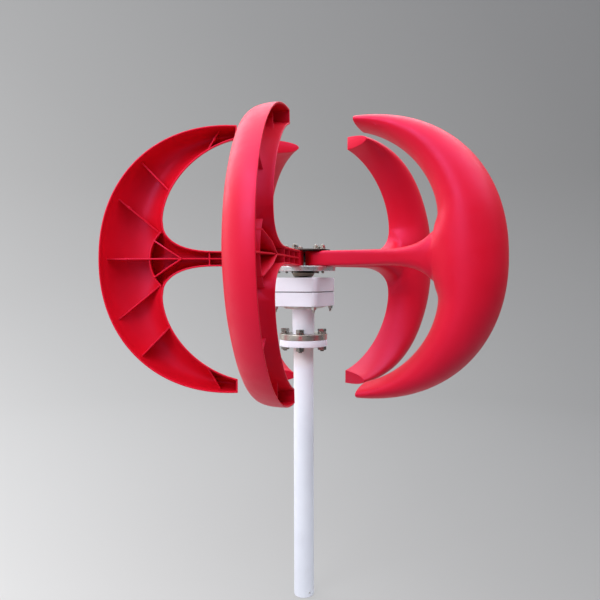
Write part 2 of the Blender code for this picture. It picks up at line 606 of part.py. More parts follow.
def stator_outlines(z):
    """Outer circle and toothed bore, point for point."""
    outer, inner = [], []
    for tooth in range(TEETH):
        middle = 2 * math.pi * tooth / TEETH
        for radius, side in ((SLOT_R, -1), (CORE_BORE, -1), (CORE_BORE, 1), (SLOT_R, 1)):
            half = math.asin(TOOTH / 2 / radius) * side
            inner.append((radius * math.cos(middle + half), radius * math.sin(middle + half), z))
        for k in range(4):
            angle = middle + math.pi / TEETH * (k - 1.5) / 2
            outer.append((CORE_R * math.cos(angle), CORE_R * math.sin(angle), z))
    return outer, inner


low_out, low_in = stator_outlines(CORE_LOW)
high_out, high_in = stator_outlines(CORE_HIGH)
add("stator_core", loft([low_out, high_out, high_in, low_in], cyclic=True), LAMINATE)


def coil(inner_r, outer_r, inside, outside, z_inside, z_outside):
    """A rectangular loop round a tooth that points along +X."""
    centre = (CORE_LOW + CORE_HIGH) / 2
    rings = []
    for sy, sz in ((1, 1), (-1, 1), (-1, -1), (1, -1)):
        rings.append([(inner_r, sy * inside, centre + sz * z_inside), (outer_r, sy * inside, centre + sz * z_inside),
                      (outer_r, sy * outside, centre + sz * z_outside), (inner_r, sy * outside, centre + sz * z_outside)])
    return loft(rings, cyclic=True)


coils = [("UNION", placed(coil(31.8, 38.0, 3.9, 7.8, 12.4, 17.0), turn(360.0 / TEETH * k))) for k in range(TEETH)]
link_z = (CORE_LOW + CORE_HIGH) / 2
links = turned([(33.6, link_z + 15.3), (37.2, link_z + 15.3), (37.2, link_z + 19.0), (33.6, link_z + 19.0)], 24)
add("stator_winding", worked("stator_winding", links, coils), COPPER)
add("rotor_core", turned([(CORE_SEAT_R + 0.6, -86.4), (24.0, -86.4), (24.0, -64.0), (CORE_SEAT_R + 0.6, -64.0)], 24), LAMINATE, True)
add("rotor_magnet", turned([(24.6, -86.2), (29.4, -86.2), (29.4, -64.2), (24.6, -64.2)], 24), MAGNET, True)

# ================================================================ neck
neck = turned([(NECK_BORE, NECK_FLANGE_BOTTOM), (NECK_R, NECK_FLANGE_BOTTOM), (NECK_R, NECK_PLATE_BOTTOM), (NECK_PLATE_FOOT, NECK_PLATE_BOTTOM), (NECK_PLATE_R, NECK_PLATE_EDGE),
               (NECK_PLATE_R, BOX_BOTTOM - GAP), (NECK_BORE, BOX_BOTTOM - GAP)], 32)
seats = [("DIFFERENCE", placed(drill(radius, -118.0, top, sides), m)) for radius, top, sides in ((3.1, -104.0, 8), (5.2, SCREW_SEAT, 16)) for m in SCREWS]
add("neck_tube", worked("neck_tube", neck, seats), WHITE, False, BOX)
neck_screw = stack([("round", 4.3, SCREW_SEAT - GAP - 2.8), ("round", 4.3, SCREW_SEAT - GAP), ("round", 2.5, SCREW_SEAT - GAP), ("round", 2.5, -101.4)])
neck_screw_mesh = mesh_of("neck_screw", *neck_screw)
for index, spot in enumerate(SCREWS):
    spot = spot.copy()
    spot.translation *= MM
    add(f"neck_screw_{index + 1}", neck_screw_mesh, ZINC, False, BOX @ spot)

FLANGE_SPOTS = [at(FLANGE_PITCH_R, FLANGE_AZIMUTH + 90.0 * k) for k in range(4)]


def flange(bore, low, high):
    return turned([(bore, low), (FLANGE_R, low), (FLANGE_R, high), (bore, high)], 32)


def flange_holes(low, high):
    return [("DIFFERENCE", placed(drill(FLANGE_D / 2 + 0.55, low - 3, high + 3, 12), m)) for m in FLANGE_SPOTS]


add("neck_flange", worked("neck_flange", flange(NECK_R + 0.45, NECK_FLANGE_BOTTOM, NECK_FLANGE_TOP), flange_holes(NECK_FLANGE_BOTTOM, NECK_FLANGE_TOP)), ZINC)
add("mast_flange", worked("mast_flange", flange(MAST_R + 0.45, MAST_FLANGE_BOTTOM, MAST_FLANGE_TOP), flange_holes(MAST_FLANGE_BOTTOM, MAST_FLANGE_TOP)), WHITE)
SEAT = NECK_FLANGE_TOP + GAP
flange_bolt = stack([("round", FLANGE_D / 2, MAST_FLANGE_BOTTOM - 11.7), ("round", FLANGE_D / 2, SEAT), ("round", 10.0, SEAT), ("round", 10.0, SEAT + 2.0),
                     ("round", 8.9, SEAT + 2.0), ("round", 8.9, SEAT + 4.6), ("hex", FLANGE_AF, SEAT + 4.6), ("hex", FLANGE_AF, SEAT + 11.0)])
flange_bolt_mesh = mesh_of("flange_bolt", *flange_bolt)
flange_nut_mesh = mesh_of("flange_nut", *nut(FLANGE_AF, 8.4, FLANGE_D / 2 + 0.5))
for index, spot in enumerate(FLANGE_SPOTS):
    spot = spot.copy()
    spot.translation *= MM
    add(f"flange_bolt_{index + 1}", flange_bolt_mesh, ZINC, False, spot)
    add(f"flange_nut_{index + 1}", flange_nut_mesh, ZINC, False, spot @ Matrix.Translation((0.0, 0.0, (MAST_FLANGE_BOTTOM - GAP - 8.4) * MM)))

# ================================================================ mast
tube = turned([(MAST_BORE, -MID_Z), (MAST_R, -MID_Z), (MAST_R, MAST_FLANGE_TOP - 0.2), (MAST_BORE, MAST_FLANGE_TOP - 0.2)], 32)
side_hole = placed(drill(MAST_HOLE_R, 10.0, 40.0, 10), turn(MAST_HOLE_AZIMUTH) @ Matrix.Translation((0.0, 0.0, MAST_HOLE_Z - MID_Z)) @ Matrix.Rotation(math.pi / 2, 4, "Y"))
add("mast_tube", worked("mast_tube", tube, [("DIFFERENCE", side_hole)]), WHITE)
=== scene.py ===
"""Looks of the vertical axis wind turbine: the moulded blades, the hub, the
generator, the flanges and the mast as smooth meshes with procedural finishes,
on a pale floor in soft studio light."""

import json
import math

import bmesh
import bpy
from mathutils import Matrix, Vector


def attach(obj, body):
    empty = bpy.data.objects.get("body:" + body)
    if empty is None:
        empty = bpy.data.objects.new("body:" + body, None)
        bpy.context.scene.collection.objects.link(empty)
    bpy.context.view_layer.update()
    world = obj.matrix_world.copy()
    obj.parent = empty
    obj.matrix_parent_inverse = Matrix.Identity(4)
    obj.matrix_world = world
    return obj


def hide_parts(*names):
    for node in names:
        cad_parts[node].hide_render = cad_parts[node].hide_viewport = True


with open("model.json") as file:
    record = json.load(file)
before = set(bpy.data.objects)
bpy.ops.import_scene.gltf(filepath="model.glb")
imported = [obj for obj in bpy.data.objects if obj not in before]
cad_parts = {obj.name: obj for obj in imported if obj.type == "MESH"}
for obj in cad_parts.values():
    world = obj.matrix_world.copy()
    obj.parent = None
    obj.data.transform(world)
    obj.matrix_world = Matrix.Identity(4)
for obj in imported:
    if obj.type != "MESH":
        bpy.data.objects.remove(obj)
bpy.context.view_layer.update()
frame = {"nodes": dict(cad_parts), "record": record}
nodes = frame["nodes"]
scene = bpy.context.scene

MM = 0.001
MID_Z = 761.0
TOP = Matrix.Translation((0.0, 0.0, MID_Z * MM))

# ================================================================ dimensions, millimetres
BLADES = 5
BLADE_AZIMUTH = -28.1
WALL = 3.4
RIM_LEVEL = 3.8
RIM_CENTRE, RIM_A, RIM_B, RIM_POWER = 154.6, 295.4, 299.7, 2.16
TIP_R = 149.2
HOLE_R, HOLE_A = 106.9, 206.1
HOLE_Z, HOLE_B, HOLE_POWER = 84.7, 190.6, 1.80
FILLET_R, FILLET_A, FILLET_B, FILLET_POWER = 194.0, 119.0, 67.7, 2.44
STEM_END = 17.5
NOSE_R, NOSE_T = 33.0, -16.0
STEM_BLOCK = 66.0
SCOOP_DEPTH, TIP_LESS, TIP_POWER = 74.0, 14.1, 1.4
STEM_DEPTH, ROOT_DEPTH = 29.5, 50.0
ROOT_POWER, ROOT_SOFT, ROOT_BLEND = 3.2, 1.6, 20.0
RIM_SOFT = 0.19
CREST_MID, CREST_LESS, CREST_START, CREST_RANGE = 0.507, 0.159, 129.0, 167.0
RIM_JUNCTION_Z = 112.0
TWIST = 0.015
RIB = 3.0
CLAMP_RADII = (37.0, 54.0)
CLAMP_T = -10.0

STEM_HALF = HOLE_Z - FILLET_B
GAP = 0.3
DISC_R, DISC_TOP, DISC_BOTTOM = 73.0, -(STEM_HALF + GAP), -28.0
PLATE_R, PLATE_BOTTOM, PLATE_TOP = 61.0, STEM_HALF + GAP, 20.8
SPIGOT_R, SPIGOT_TOP = 16.0, -8.0
CLAMP_HOLE_R = 3.6
SHAFT_R, THREAD_R, CORE_SEAT_R, FOOT_R = 10.0, 8.0, 11.0, 8.5
BOX_SIDE, BOX_RADIUS, BOX_TURN = 112.0, 10.0, -25.0
BOX_TOP, BOX_SEAM, BOX_BOTTOM = -42.5, -74.5, -106.5
SEAM_HALF = 1.0
BOX_BOLT = 46.5
PANEL_SUNK = 1.3         # the flat sides lie this much behind the corners
CAVITY_R = 48.6
NECK_R, NECK_BORE = 25.0, 21.0
NECK_PLATE_R, NECK_PLATE_EDGE = 50.0, -108.6
NECK_PLATE_FOOT, NECK_PLATE_BOTTOM = 29.0, -113.8
SCREW_SEAT = -109.4
NECK_FLANGE_TOP, NECK_FLANGE_BOTTOM = -169.1, -182.0
MAST_FLANGE_TOP, MAST_FLANGE_BOTTOM = -182.3, -197.1
FLANGE_R = 54.0
MAST_R, MAST_BORE = 22.5, 19.5
FLANGE_PITCH_R, FLANGE_AZIMUTH = 42.5, -100.0
MAST_HOLE_Z, MAST_HOLE_R, MAST_HOLE_AZIMUTH = 9.0, 3.0, -55.0
ROUND = 120              # points round a turned piece


# ================================================================ finishes
class Finish:
    """A node material: a Principled shader with textures in the piece's own coordinates."""

    def __init__(self, name, roughness, metallic=0.0, **fixed):
        self.made = bpy.data.materials.new(name)
        self.made.use_nodes = True
        self.tree = self.made.node_tree
        self.shader = self.tree.nodes["Principled BSDF"]
        self.shader.inputs["Roughness"].default_value = roughness
        self.shader.inputs["Metallic"].default_value = metallic
        for socket, value in fixed.items():
            self.shader.inputs[socket.replace("_", " ")].default_value = value
        self.place = self.node("ShaderNodeTexCoord").outputs["Object"]

    def node(self, kind, **values):
        made = self.tree.nodes.new(kind)
        for key, value in values.items():
            setattr(made, key, value)
        return made

    def link(self, start, end):
        self.tree.links.new(start, end)

    def noise(self, scale, detail=3.0, roughness=0.55, stretch=None, distortion=0.0):
        made = self.node("ShaderNodeTexNoise")
        made.inputs["Scale"].default_value = scale
        made.inputs["Detail"].default_value = detail
        made.inputs["Roughness"].default_value = roughness
        made.inputs["Distortion"].default_value = distortion
        if stretch is None:
            self.link(self.place, made.inputs["Vector"])
        else:
            mapping = self.node("ShaderNodeMapping")
            mapping.inputs["Scale"].default_value = stretch
            self.link(self.place, mapping.inputs["Vector"])
            self.link(mapping.outputs["Vector"], made.inputs["Vector"])
        return made.outputs["Fac"]

    def ramp(self, value, stops):
        made = self.node("ShaderNodeValToRGB")
        while len(made.color_ramp.elements) < len(stops):
            made.color_ramp.elements.new(0.5)
        for element, (position, colour) in zip(made.color_ramp.elements, stops):
            element.position = position
            element.color = (*colour, 1.0) if len(colour) == 3 else colour
        self.link(value, made.inputs["Fac"])
        return made.outputs["Color"]

    def mapped(self, value, low, high, from_low=0.3, from_high=0.7):
        made = self.node("ShaderNodeMapRange")
        for socket, number in (("From Min", from_low), ("From Max", from_high), ("To Min", low), ("To Max", high)):
            made.inputs[socket].default_value = number
        self.link(value, made.inputs["Value"])
        return made.outputs["Result"]

    def mixed(self, factor, one, two, blend="MIX"):
        made = self.node("ShaderNodeMix", data_type="RGBA", blend_type=blend)
        for value, index in ((factor, 0), (one, 6), (two, 7)):
            if isinstance(value, bpy.types.NodeSocket):
                self.link(value, made.inputs[index])
            else:
                made.inputs[index].default_value = value if index == 0 else (*value, 1.0)
        return made.outputs[2]

    def edge_wear_and_highlight(self, low, high):
        """One on the outer edges of the mesh, zero elsewhere."""
        return self.mapped(self.node("ShaderNodeNewGeometry").outputs["Pointiness"], 0.0, 1.0, low, high)

    def colour(self, value):
        self.link(value, self.shader.inputs["Base Color"])

    def rough(self, value):
        self.link(value, self.shader.inputs["Roughness"])

    def bumps(self, *layers):
        """Bump layers as (height, strength, distance in millimetres)."""
        last = None
        for height, strength, distance in layers:
            made = self.node("ShaderNodeBump")
            made.inputs["Strength"].default_value = strength
            made.inputs["Distance"].default_value = distance * MM
            self.link(height, made.inputs["Height"])
            if last is not None:
                self.link(last, made.inputs["Normal"])
            last = made.outputs["Normal"]
        self.link(last, self.shader.inputs["Normal"])


def red_plastic():
    f = Finish("moulded_red_plastic", 0.44, IOR=1.33, Specular_IOR_Level=1.0, Specular_Tint=(1.0, 0.36, 1.0, 1.0))
    broad, cloud, grain = f.noise(7.0, 3.0), f.noise(38.0, 4.0, 0.6), f.noise(900.0, 2.0)
    tone = f.ramp(broad, [(0.30, (0.620, 0.0028, 0.0125)), (0.70, (0.685, 0.0046, 0.0185))])
    speck = f.ramp(f.noise(420.0, 2.0), [(0.62, (0.0, 0.0, 0.0)), (0.74, (0.35, 0.35, 0.35))])
    tone = f.mixed(speck, tone, (0.66, 0.014, 0.026))
    # pale pink on the outer edges: partly rubbed wear, partly a painted highlight where the rounded rims catch the
    # light
    tone = f.mixed(f.edge_wear_and_highlight(0.56, 0.66), tone, (0.72, 0.050, 0.080))
    f.colour(tone)
    f.rough(f.mapped(cloud, 0.39, 0.51))
    f.bumps((f.noise(16.0, 2.0), 0.25, 0.6), (grain, 0.10, 0.05))
    return f.made


def white_paint():
    f = Finish("white_powder_coat", 0.38, Specular_IOR_Level=0.5)
    broad, peel = f.noise(11.0, 4.0), f.noise(620.0, 2.0, 0.5)
    tone = f.ramp(broad, [(0.30, (0.765, 0.790, 0.885)), (0.70, (0.820, 0.845, 0.935))])
    grime = f.ramp(f.noise(55.0, 5.0, 0.65, (1.0, 1.0, 0.28)), [(0.56, (0.0, 0.0, 0.0)), (0.80, (0.22, 0.22, 0.22))])
    tone = f.mixed(grime, tone, (0.63, 0.63, 0.67))
    f.colour(tone)
    f.rough(f.mapped(f.noise(70.0, 3.0), 0.30, 0.44))
    f.bumps((peel, 0.12, 0.06))
    return f.made


def level_of(f, uneven):
    """The height of a point above the ground, made uneven by some noise, in metres."""
    height = f.node("ShaderNodeSeparateXYZ")
    f.link(f.place, height.inputs["Vector"])
    made = f.node("ShaderNodeMath", operation="MULTIPLY_ADD")
    f.link(f.noise(60.0, 3.0, 0.6), made.inputs[0])
    made.inputs[1].default_value = uneven * MM
    f.link(height.outputs["Z"], made.inputs[2])
    return made.outputs["Value"]


def paint_with_shade_and_rust(top, reach):
    """White paint with warm painted shade under the flange, partly a rust tint, that fades below a level."""
    f = Finish("white_powder_coat_shade_and_rust", 0.38, Specular_IOR_Level=0.5)
    broad, peel = f.noise(11.0, 4.0), f.noise(620.0, 2.0, 0.5)
    tone = f.ramp(broad, [(0.30, (0.765, 0.790, 0.885)), (0.70, (0.820, 0.845, 0.935))])
    grime = f.ramp(f.noise(55.0, 5.0, 0.65, (1.0, 1.0, 0.28)), [(0.56, (0.0, 0.0, 0.0)), (0.80, (0.22, 0.22, 0.22))])
    tone = f.mixed(grime, tone, (0.63, 0.63, 0.67))
    # warm painted shade under the flange, partly a rust tint, fading downwards
    shade_and_rust = f.mapped(level_of(f, 14.0), 0.0, 0.85, (MID_Z + top - reach) * MM, (MID_Z + top + 6.0) * MM)
    f.colour(f.mixed(shade_and_rust, tone, (0.70, 0.57, 0.51)))
    f.rough(f.mapped(f.noise(70.0, 3.0), 0.30, 0.44))
    f.bumps((peel, 0.12, 0.06))
    return f.made


def neck_finish():
    """White paint on the tube, bare plate steel above it."""
    f = Finish("painted_tube_bare_plate", 0.38)
    bare = f.mapped(level_of(f, 0.5), 0.0, 1.0, (MID_Z - 114.2) * MM, (MID_Z - 113.6) * MM)
    broad, peel = f.noise(11.0, 4.0), f.noise(620.0, 2.0, 0.5)
    paint = f.ramp(broad, [(0.30, (0.765, 0.790, 0.885)), (0.70, (0.820, 0.845, 0.935))])
    grime = f.ramp(f.noise(55.0, 5.0, 0.65, (1.0, 1.0, 0.28)), [(0.56, (0.0, 0.0, 0.0)), (0.80, (0.22, 0.22, 0.22))])
    steel = f.ramp(f.noise(24.0, 4.0, 0.6), [(0.34, (0.22, 0.19, 0.16)), (0.66, (0.76, 0.74, 0.69))])
    f.colour(f.mixed(bare, f.mixed(grime, paint, (0.63, 0.63, 0.67)), steel))
    f.link(bare, f.shader.inputs["Metallic"])
    f.rough(f.mapped(f.noise(70.0, 3.0), 0.28, 0.42))
    f.bumps((peel, 0.12, 0.06))
    return f.made


def metal(name, dark, light, rough_low, rough_high, grain=140.0, stretch=None, bump=0.12, broad=26.0):
    f = Finish(name, 0.35, 1.0)
    cloud, fine = f.noise(broad, 4.0, 0.6), f.noise(grain, 3.0, 0.6, stretch)
    tone = f.ramp(cloud, [(0.32, dark), (0.68, light)])
    f.colour(f.mixed(f.ramp(fine, [(0.35, (0.0, 0.0, 0.0)), (0.75, (0.30, 0.30, 0.30))]), tone, tuple(c * 0.72 for c in dark)))
    f.rough(f.mapped(fine, rough_low, rough_high))
    f.bumps((fine, bump, 0.04))
    return f.made


def turned_metal(name, dark, light, rough_low, rough_high, pitch):
    """Metal with fine turning marks round the rotor's axis."""
    f = Finish(name, 0.35, 1.0)
    flat = f.node("ShaderNodeVectorMath", operation="MULTIPLY")
    flat.inputs[1].default_value = (1.0, 1.0, 0.0)
    f.link(f.place, flat.inputs[0])
    radius = f.node("ShaderNodeVectorMath", operation="LENGTH")
    f.link(flat.outputs["Vector"], radius.inputs[0])
    turns = f.node("ShaderNodeMath", operation="MULTIPLY")
    turns.inputs[1].default_value = 2 * math.pi / (pitch * MM)
    f.link(radius.outputs["Value"], turns.inputs[0])
    wave = f.node("ShaderNodeMath", operation="SINE")
    f.link(turns.outputs["Value"], wave.inputs[0])
    cloud, fine = f.noise(30.0, 4.0, 0.6), f.noise(300.0, 3.0)
    f.colour(f.ramp(cloud, [(0.30, dark), (0.70, light)]))
    f.rough(f.mapped(fine, rough_low, rough_high))
    f.bumps((wave.outputs["Value"], 0.10, 0.02), (fine, 0.08, 0.03))
    return f.made


def straw_steel_with_painted_shade():
    """The collar: straw-coloured turned steel on the cone, a near-black band under the disc that is painted shade and a
    painted dark reflection, and a near-black foot.
    """
    f = Finish("straw_steel_painted_shade", 0.34, 1.0)
    level = level_of(f, 0.7)
    # painted shade and painted dark reflection: the band just under the disc is near-black
    painted_shade_under_disc = f.mapped(level, 0.0, 1.0, (MID_Z - 31.9) * MM, (MID_Z - 31.2) * MM)
    foot = f.mapped(level, 1.0, 0.0, (MID_Z - 38.9) * MM, (MID_Z - 38.2) * MM)
    straw = f.ramp(f.noise(34.0, 4.0, 0.6), [(0.30, (0.60, 0.52, 0.37)), (0.70, (0.82, 0.74, 0.57))])
    fine = f.noise(240.0, 3.0, 0.6, (0.15, 0.15, 3.0))
    f.colour(f.mixed(foot, f.mixed(painted_shade_under_disc, straw, (0.030, 0.027, 0.024)), (0.020, 0.018, 0.016)))
    f.rough(f.mapped(fine, 0.24, 0.42))
    f.bumps((fine, 0.12, 0.03))
    return f.made


def black_rubber():
    f = Finish("black_rubber", 0.72)
    f.colour(f.ramp(f.noise(90.0, 4.0), [(0.3, (0.014, 0.014, 0.015)), (0.7, (0.034, 0.033, 0.032))]))
    f.rough(f.mapped(f.noise(240.0, 2.0), 0.62, 0.82))
    f.bumps((f.noise(1100.0, 2.0), 0.15, 0.05))
    return f.made


def wire():
    f = Finish("enamelled_copper_wire", 0.30, 1.0)
    strands = f.noise(900.0, 1.0, 0.5, (0.15, 0.15, 1.0))
    f.colour(f.ramp(strands, [(0.3, (0.42, 0.15, 0.05)), (0.7, (0.72, 0.32, 0.13))]))
    f.rough(f.mapped(strands, 0.22, 0.42))
    f.bumps((strands, 0.35, 0.15))
    return f.made


def laminate():
    f = Finish("stacked_core_steel", 0.5, 1.0)
    sheets = f.noise(1600.0, 0.0, 0.5, (0.002, 0.002, 1.0))
    f.colour(f.ramp(sheets, [(0.35, (0.10, 0.10, 0.11)), (0.65, (0.21, 0.21, 0.22))]))
    f.rough(f.mapped(sheets, 0.42, 0.62))
    f.bumps((sheets, 0.3, 0.05))
    return f.made


RED = red_plastic()
WHITE = white_paint()
ZINC = metal("bright_zinc", (0.50, 0.50, 0.47), (0.70, 0.69, 0.66), 0.22, 0.42)
BOLT = metal("tarnished_zinc", (0.20, 0.185, 0.165), (0.44, 0.42, 0.39), 0.16, 0.32)
CLAMP = metal("worn_zinc", (0.38, 0.36, 0.32), (0.68, 0.65, 0.60), 0.18, 0.34)
FLANGE = metal("bare_plate_steel", (0.36, 0.35, 0.34), (0.84, 0.79, 0.68), 0.24, 0.40, broad=15.0)
NECK = neck_finish()
SHADE_AND_RUST_PAINT = paint_with_shade_and_rust(MAST_FLANGE_BOTTOM, 46.0)
DARK = metal("dark_oiled_steel", (0.055, 0.050, 0.046), (0.120, 0.110, 0.098), 0.32, 0.52)
ALUMINIUM = turned_metal("machined_aluminium", (0.70, 0.70, 0.72), (0.82, 0.82, 0.83), 0.24, 0.40, 0.55)
STEEL = turned_metal("ground_steel", (0.46, 0.46, 0.47), (0.60, 0.60, 0.61), 0.16, 0.30, 0.4)
RUBBER = black_rubber()
COPPER = wire()
LAMINATE = laminate()
MAGNET = metal("nickel_plate", (0.42, 0.41, 0.39), (0.55, 0.54, 0.51), 0.20, 0.36)


# ================================================================ mesh making
def mesh_of(name, verts, faces):
    mesh = bpy.data.meshes.new(name)
    mesh.from_pydata([Vector(v) * MM for v in verts], [], faces)
    work = bmesh.new()
    work.from_mesh(mesh)
    bmesh.ops.recalc_face_normals(work, faces=work.faces)
    work.to_mesh(mesh)
    work.free()
    return mesh


def smooth(mesh, degrees=32.0):
    for face in mesh.polygons:
        face.use_smooth = True
    mesh.set_sharp_from_angle(angle=math.radians(degrees))


def ring(count, radius, z, phase=0.0):
    return [(radius * math.cos(phase + 2 * math.pi * i / count), radius * math.sin(phase + 2 * math.pi * i / count), z) for i in range(count)]


def loft(rings, cyclic=False):
    count = len(rings[0])
    verts = [p for loop in rings for p in loop]
    faces = []
    for k in range(len(rings) if cyclic else len(rings) - 1):
        a, b = k * count, ((k + 1) % len(rings)) * count
        for i in range(count):
            j = (i + 1) % count
            faces.append((a + i, a + j, b + j, b + i))
    if not cyclic:
        faces.append(tuple(range(count)))
        faces.append(tuple(range(len(verts) - count, len(verts))))
    return verts, faces


def eased(corners, steps=4):
    """A closed profile of (r, z, corner radius), its corners rounded."""
    made = []
    for k, (r, z, radius) in enumerate(corners):
        p = Vector((r, z))
        if radius <= 0.0:
            made.append((r, z))
            continue
        before, after = Vector(corners[k - 1][:2]) - p, Vector(corners[(k + 1) % len(corners)][:2]) - p
        reach = min(radius, before.length * 0.45, after.length * 0.45)
        start, end = p + before.normalized() * reach, p + after.normalized() * reach
        for s in range(steps + 1):
            x = s / steps
            q = start * (1 - x) ** 2 + p * (2 * x * (1 - x)) + end * x ** 2
            made.append((q.x, q.y))
    return made


def turned(corners, count=ROUND, steps=4):
    """A ring of revolution from a closed profile clear of the axis."""
    return loft([ring(count, r, z) for r, z in eased(corners, steps)], cyclic=True)


def placed(shape, matrix):
    verts, faces = shape
    return [tuple(matrix @ Vector(v)) for v in verts], faces


def turn(degrees):
    return Matrix.Rotation(math.radians(degrees), 4, "Z")


def at(radius, degrees, z=0.0):
    return turn(degrees) @ Matrix.Translation((radius, 0.0, z))


def drill(radius, z0, z1, sides=28):
    return loft([ring(sides, radius, z0), ring(sides, radius, z1)])


def worked(name, shape, steps, solver="MANIFOLD"):
    """The mesh left after a list of (operation, tool shape) Boolean steps."""
    obj = bpy.data.objects.new(name, mesh_of(name, *shape) if isinstance(shape, tuple) else shape)
    scene.collection.objects.link(obj)
    tools = []
    for index, (operation, tool) in enumerate(steps):
        other = bpy.data.objects.new(f"{name}_tool_{index}", mesh_of(f"{name}_tool_{index}", *tool))
        scene.collection.objects.link(other)
        tools.append(other)
        change = obj.modifiers.new(f"step_{index}", "BOOLEAN")
        change.operation = operation
        change.solver = solver
        change.object = other
    bpy.context.view_layer.update()
    mesh = bpy.data.meshes.new_from_object(obj.evaluated_get(bpy.context.evaluated_depsgraph_get()))
    mesh.name = name
    mesh.materials.clear()
    for gone in [obj, *tools]:
        bpy.data.objects.remove(gone, do_unlink=True)
    work = bmesh.new()
    work.from_mesh(mesh)
    bmesh.ops.remove_doubles(work, verts=work.verts, dist=2e-6)
    bmesh.ops.dissolve_degenerate(work, dist=2e-6, edges=work.edges)
    work.to_mesh(mesh)
    work.free()
    return mesh


def show(name, shape, stuff, body, stands_for, matrix=None, degrees=32.0):
    """Puts a piece in place of CAD nodes, riding on their body. The shape is in millimetres about the rotor's mid-plane."""
    mesh = mesh_of(name, *shape) if isinstance(shape, tuple) else shape
    if not mesh.materials:
        mesh.materials.append(stuff)
        smooth(mesh, degrees)
    mesh = mesh.copy()
    mesh.name = name
    mesh.transform(TOP @ matrix if matrix is not None else TOP)
    obj = bpy.data.objects.new(name, mesh)
    scene.collection.objects.link(obj)
    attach(obj, body)
    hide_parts(stands_for)
    return obj


# ================================================================ hardware
SIDES = 60


def hex_radius(across, angle):
    return across / 2 / math.cos(math.radians(math.degrees(angle) % 60.0 - 30.0))


def hex_row(across, z, chamfer=0.0):
    """Hexagon outline whose corners dip by the usual thirty degree chamfer, upwards or downwards."""
    points = []
    for i in range(SIDES):
        angle = 2 * math.pi * i / SIDES
        radius = hex_radius(across, angle)
        points.append((radius * math.cos(angle), radius * math.sin(angle), z - chamfer * max(0.0, radius - across * 0.475) * math.tan(math.radians(30.0))))
    return points


def hex_rows(across, z0, z1, low=False, high=False):
    rows = []
    if low:
        rows.append(ring(SIDES, across * 0.475, z0))
    rows.append(hex_row(across, z0, -1.0 if low else 0.0))
    rows.append(hex_row(across, z1, 1.0 if high else 0.0))
    if high:
        rows.append(ring(SIDES, across * 0.475, z1))
    return rows


def thread_rows(radius, pitch, z0, z1, end=0):
    """Rows of a right-hand thread between two levels, with a chamfer at the upper (1) or lower (-1) end."""
    rows = []
    count = max(2, int(round((z1 - z0) / pitch * 6)))
    for k in range(count + 1):
        z = z0 + (z1 - z0) * k / count
        points = []
        for i in range(SIDES):
            angle = 2 * math.pi * i / SIDES
            phase = (z / pitch - i / SIDES) % 1.0
            r = radius - 0.55 * pitch * (1.0 - abs(2.0 * phase - 1.0))
            if end:
                room = (z1 - z) if end > 0 else (z - z0)
                r = min(r, radius - 0.75 * pitch + room)
            points.append((r * math.cos(angle), r * math.sin(angle), z))
        rows.append(points)
    return rows


def washer_rows(radius, z0, z1, ease=0.3):
    return [ring(SIDES, radius - ease, z0), ring(SIDES, radius, z0 + ease), ring(SIDES, radius, z1 - ease), ring(SIDES, radius - ease, z1)]


def each(name, mesh, spots, stuff, body, node, matrix=None):
    for index, spot in enumerate(spots):
        spot = spot.copy()
        spot.translation *= MM
        show(f"{name}_{index + 1}", mesh, stuff, body, f"{node}_{index + 1}", (matrix @ spot) if matrix is not None else spot)


# ================================================================ the blade's form
def ease(x):
    x = min(max(x, 0.0), 1.0)
    return x * x * (3.0 - 2.0 * x)


def arch(x, power):
    return max(0.0, 1.0 - min(abs(x), 1.0) ** power) ** (1.0 / power)


def outer_rim(theta, inset):
    c, s, e = math.cos(theta), math.sin(theta), 2.0 / RIM_POWER
    return (RIM_CENTRE + math.copysign(abs(c) ** e, c) * (RIM_A - inset), s ** e * (RIM_B - inset))


def rim_angle_at_r(r, inset):
    x = (r - RIM_CENTRE) / (RIM_A - inset)
    return math.acos(math.copysign(abs(x) ** (RIM_POWER / 2.0), x))


def rim_angle_at_z(z, inset):
    return math.asin((z / (RIM_B - inset)) ** (RIM_POWER / 2.0))


def hole_edge(phi, inset):
    e = 2.0 / HOLE_POWER
    return (HOLE_R + (HOLE_A + inset) * math.cos(phi) ** e, HOLE_Z + (HOLE_B + inset) * math.sin(phi) ** e)


def hole_angle_at_r(r, inset):
    return math.acos(((r - HOLE_R) / (HOLE_A + inset)) ** (HOLE_POWER / 2.0))


def stem_half(r, inset):
    if r <= FILLET_R:
        return HOLE_Z - (FILLET_B + inset)
    return HOLE_Z - (FILLET_B + inset) * arch((r - FILLET_R) / (FILLET_A + inset), FILLET_POWER)


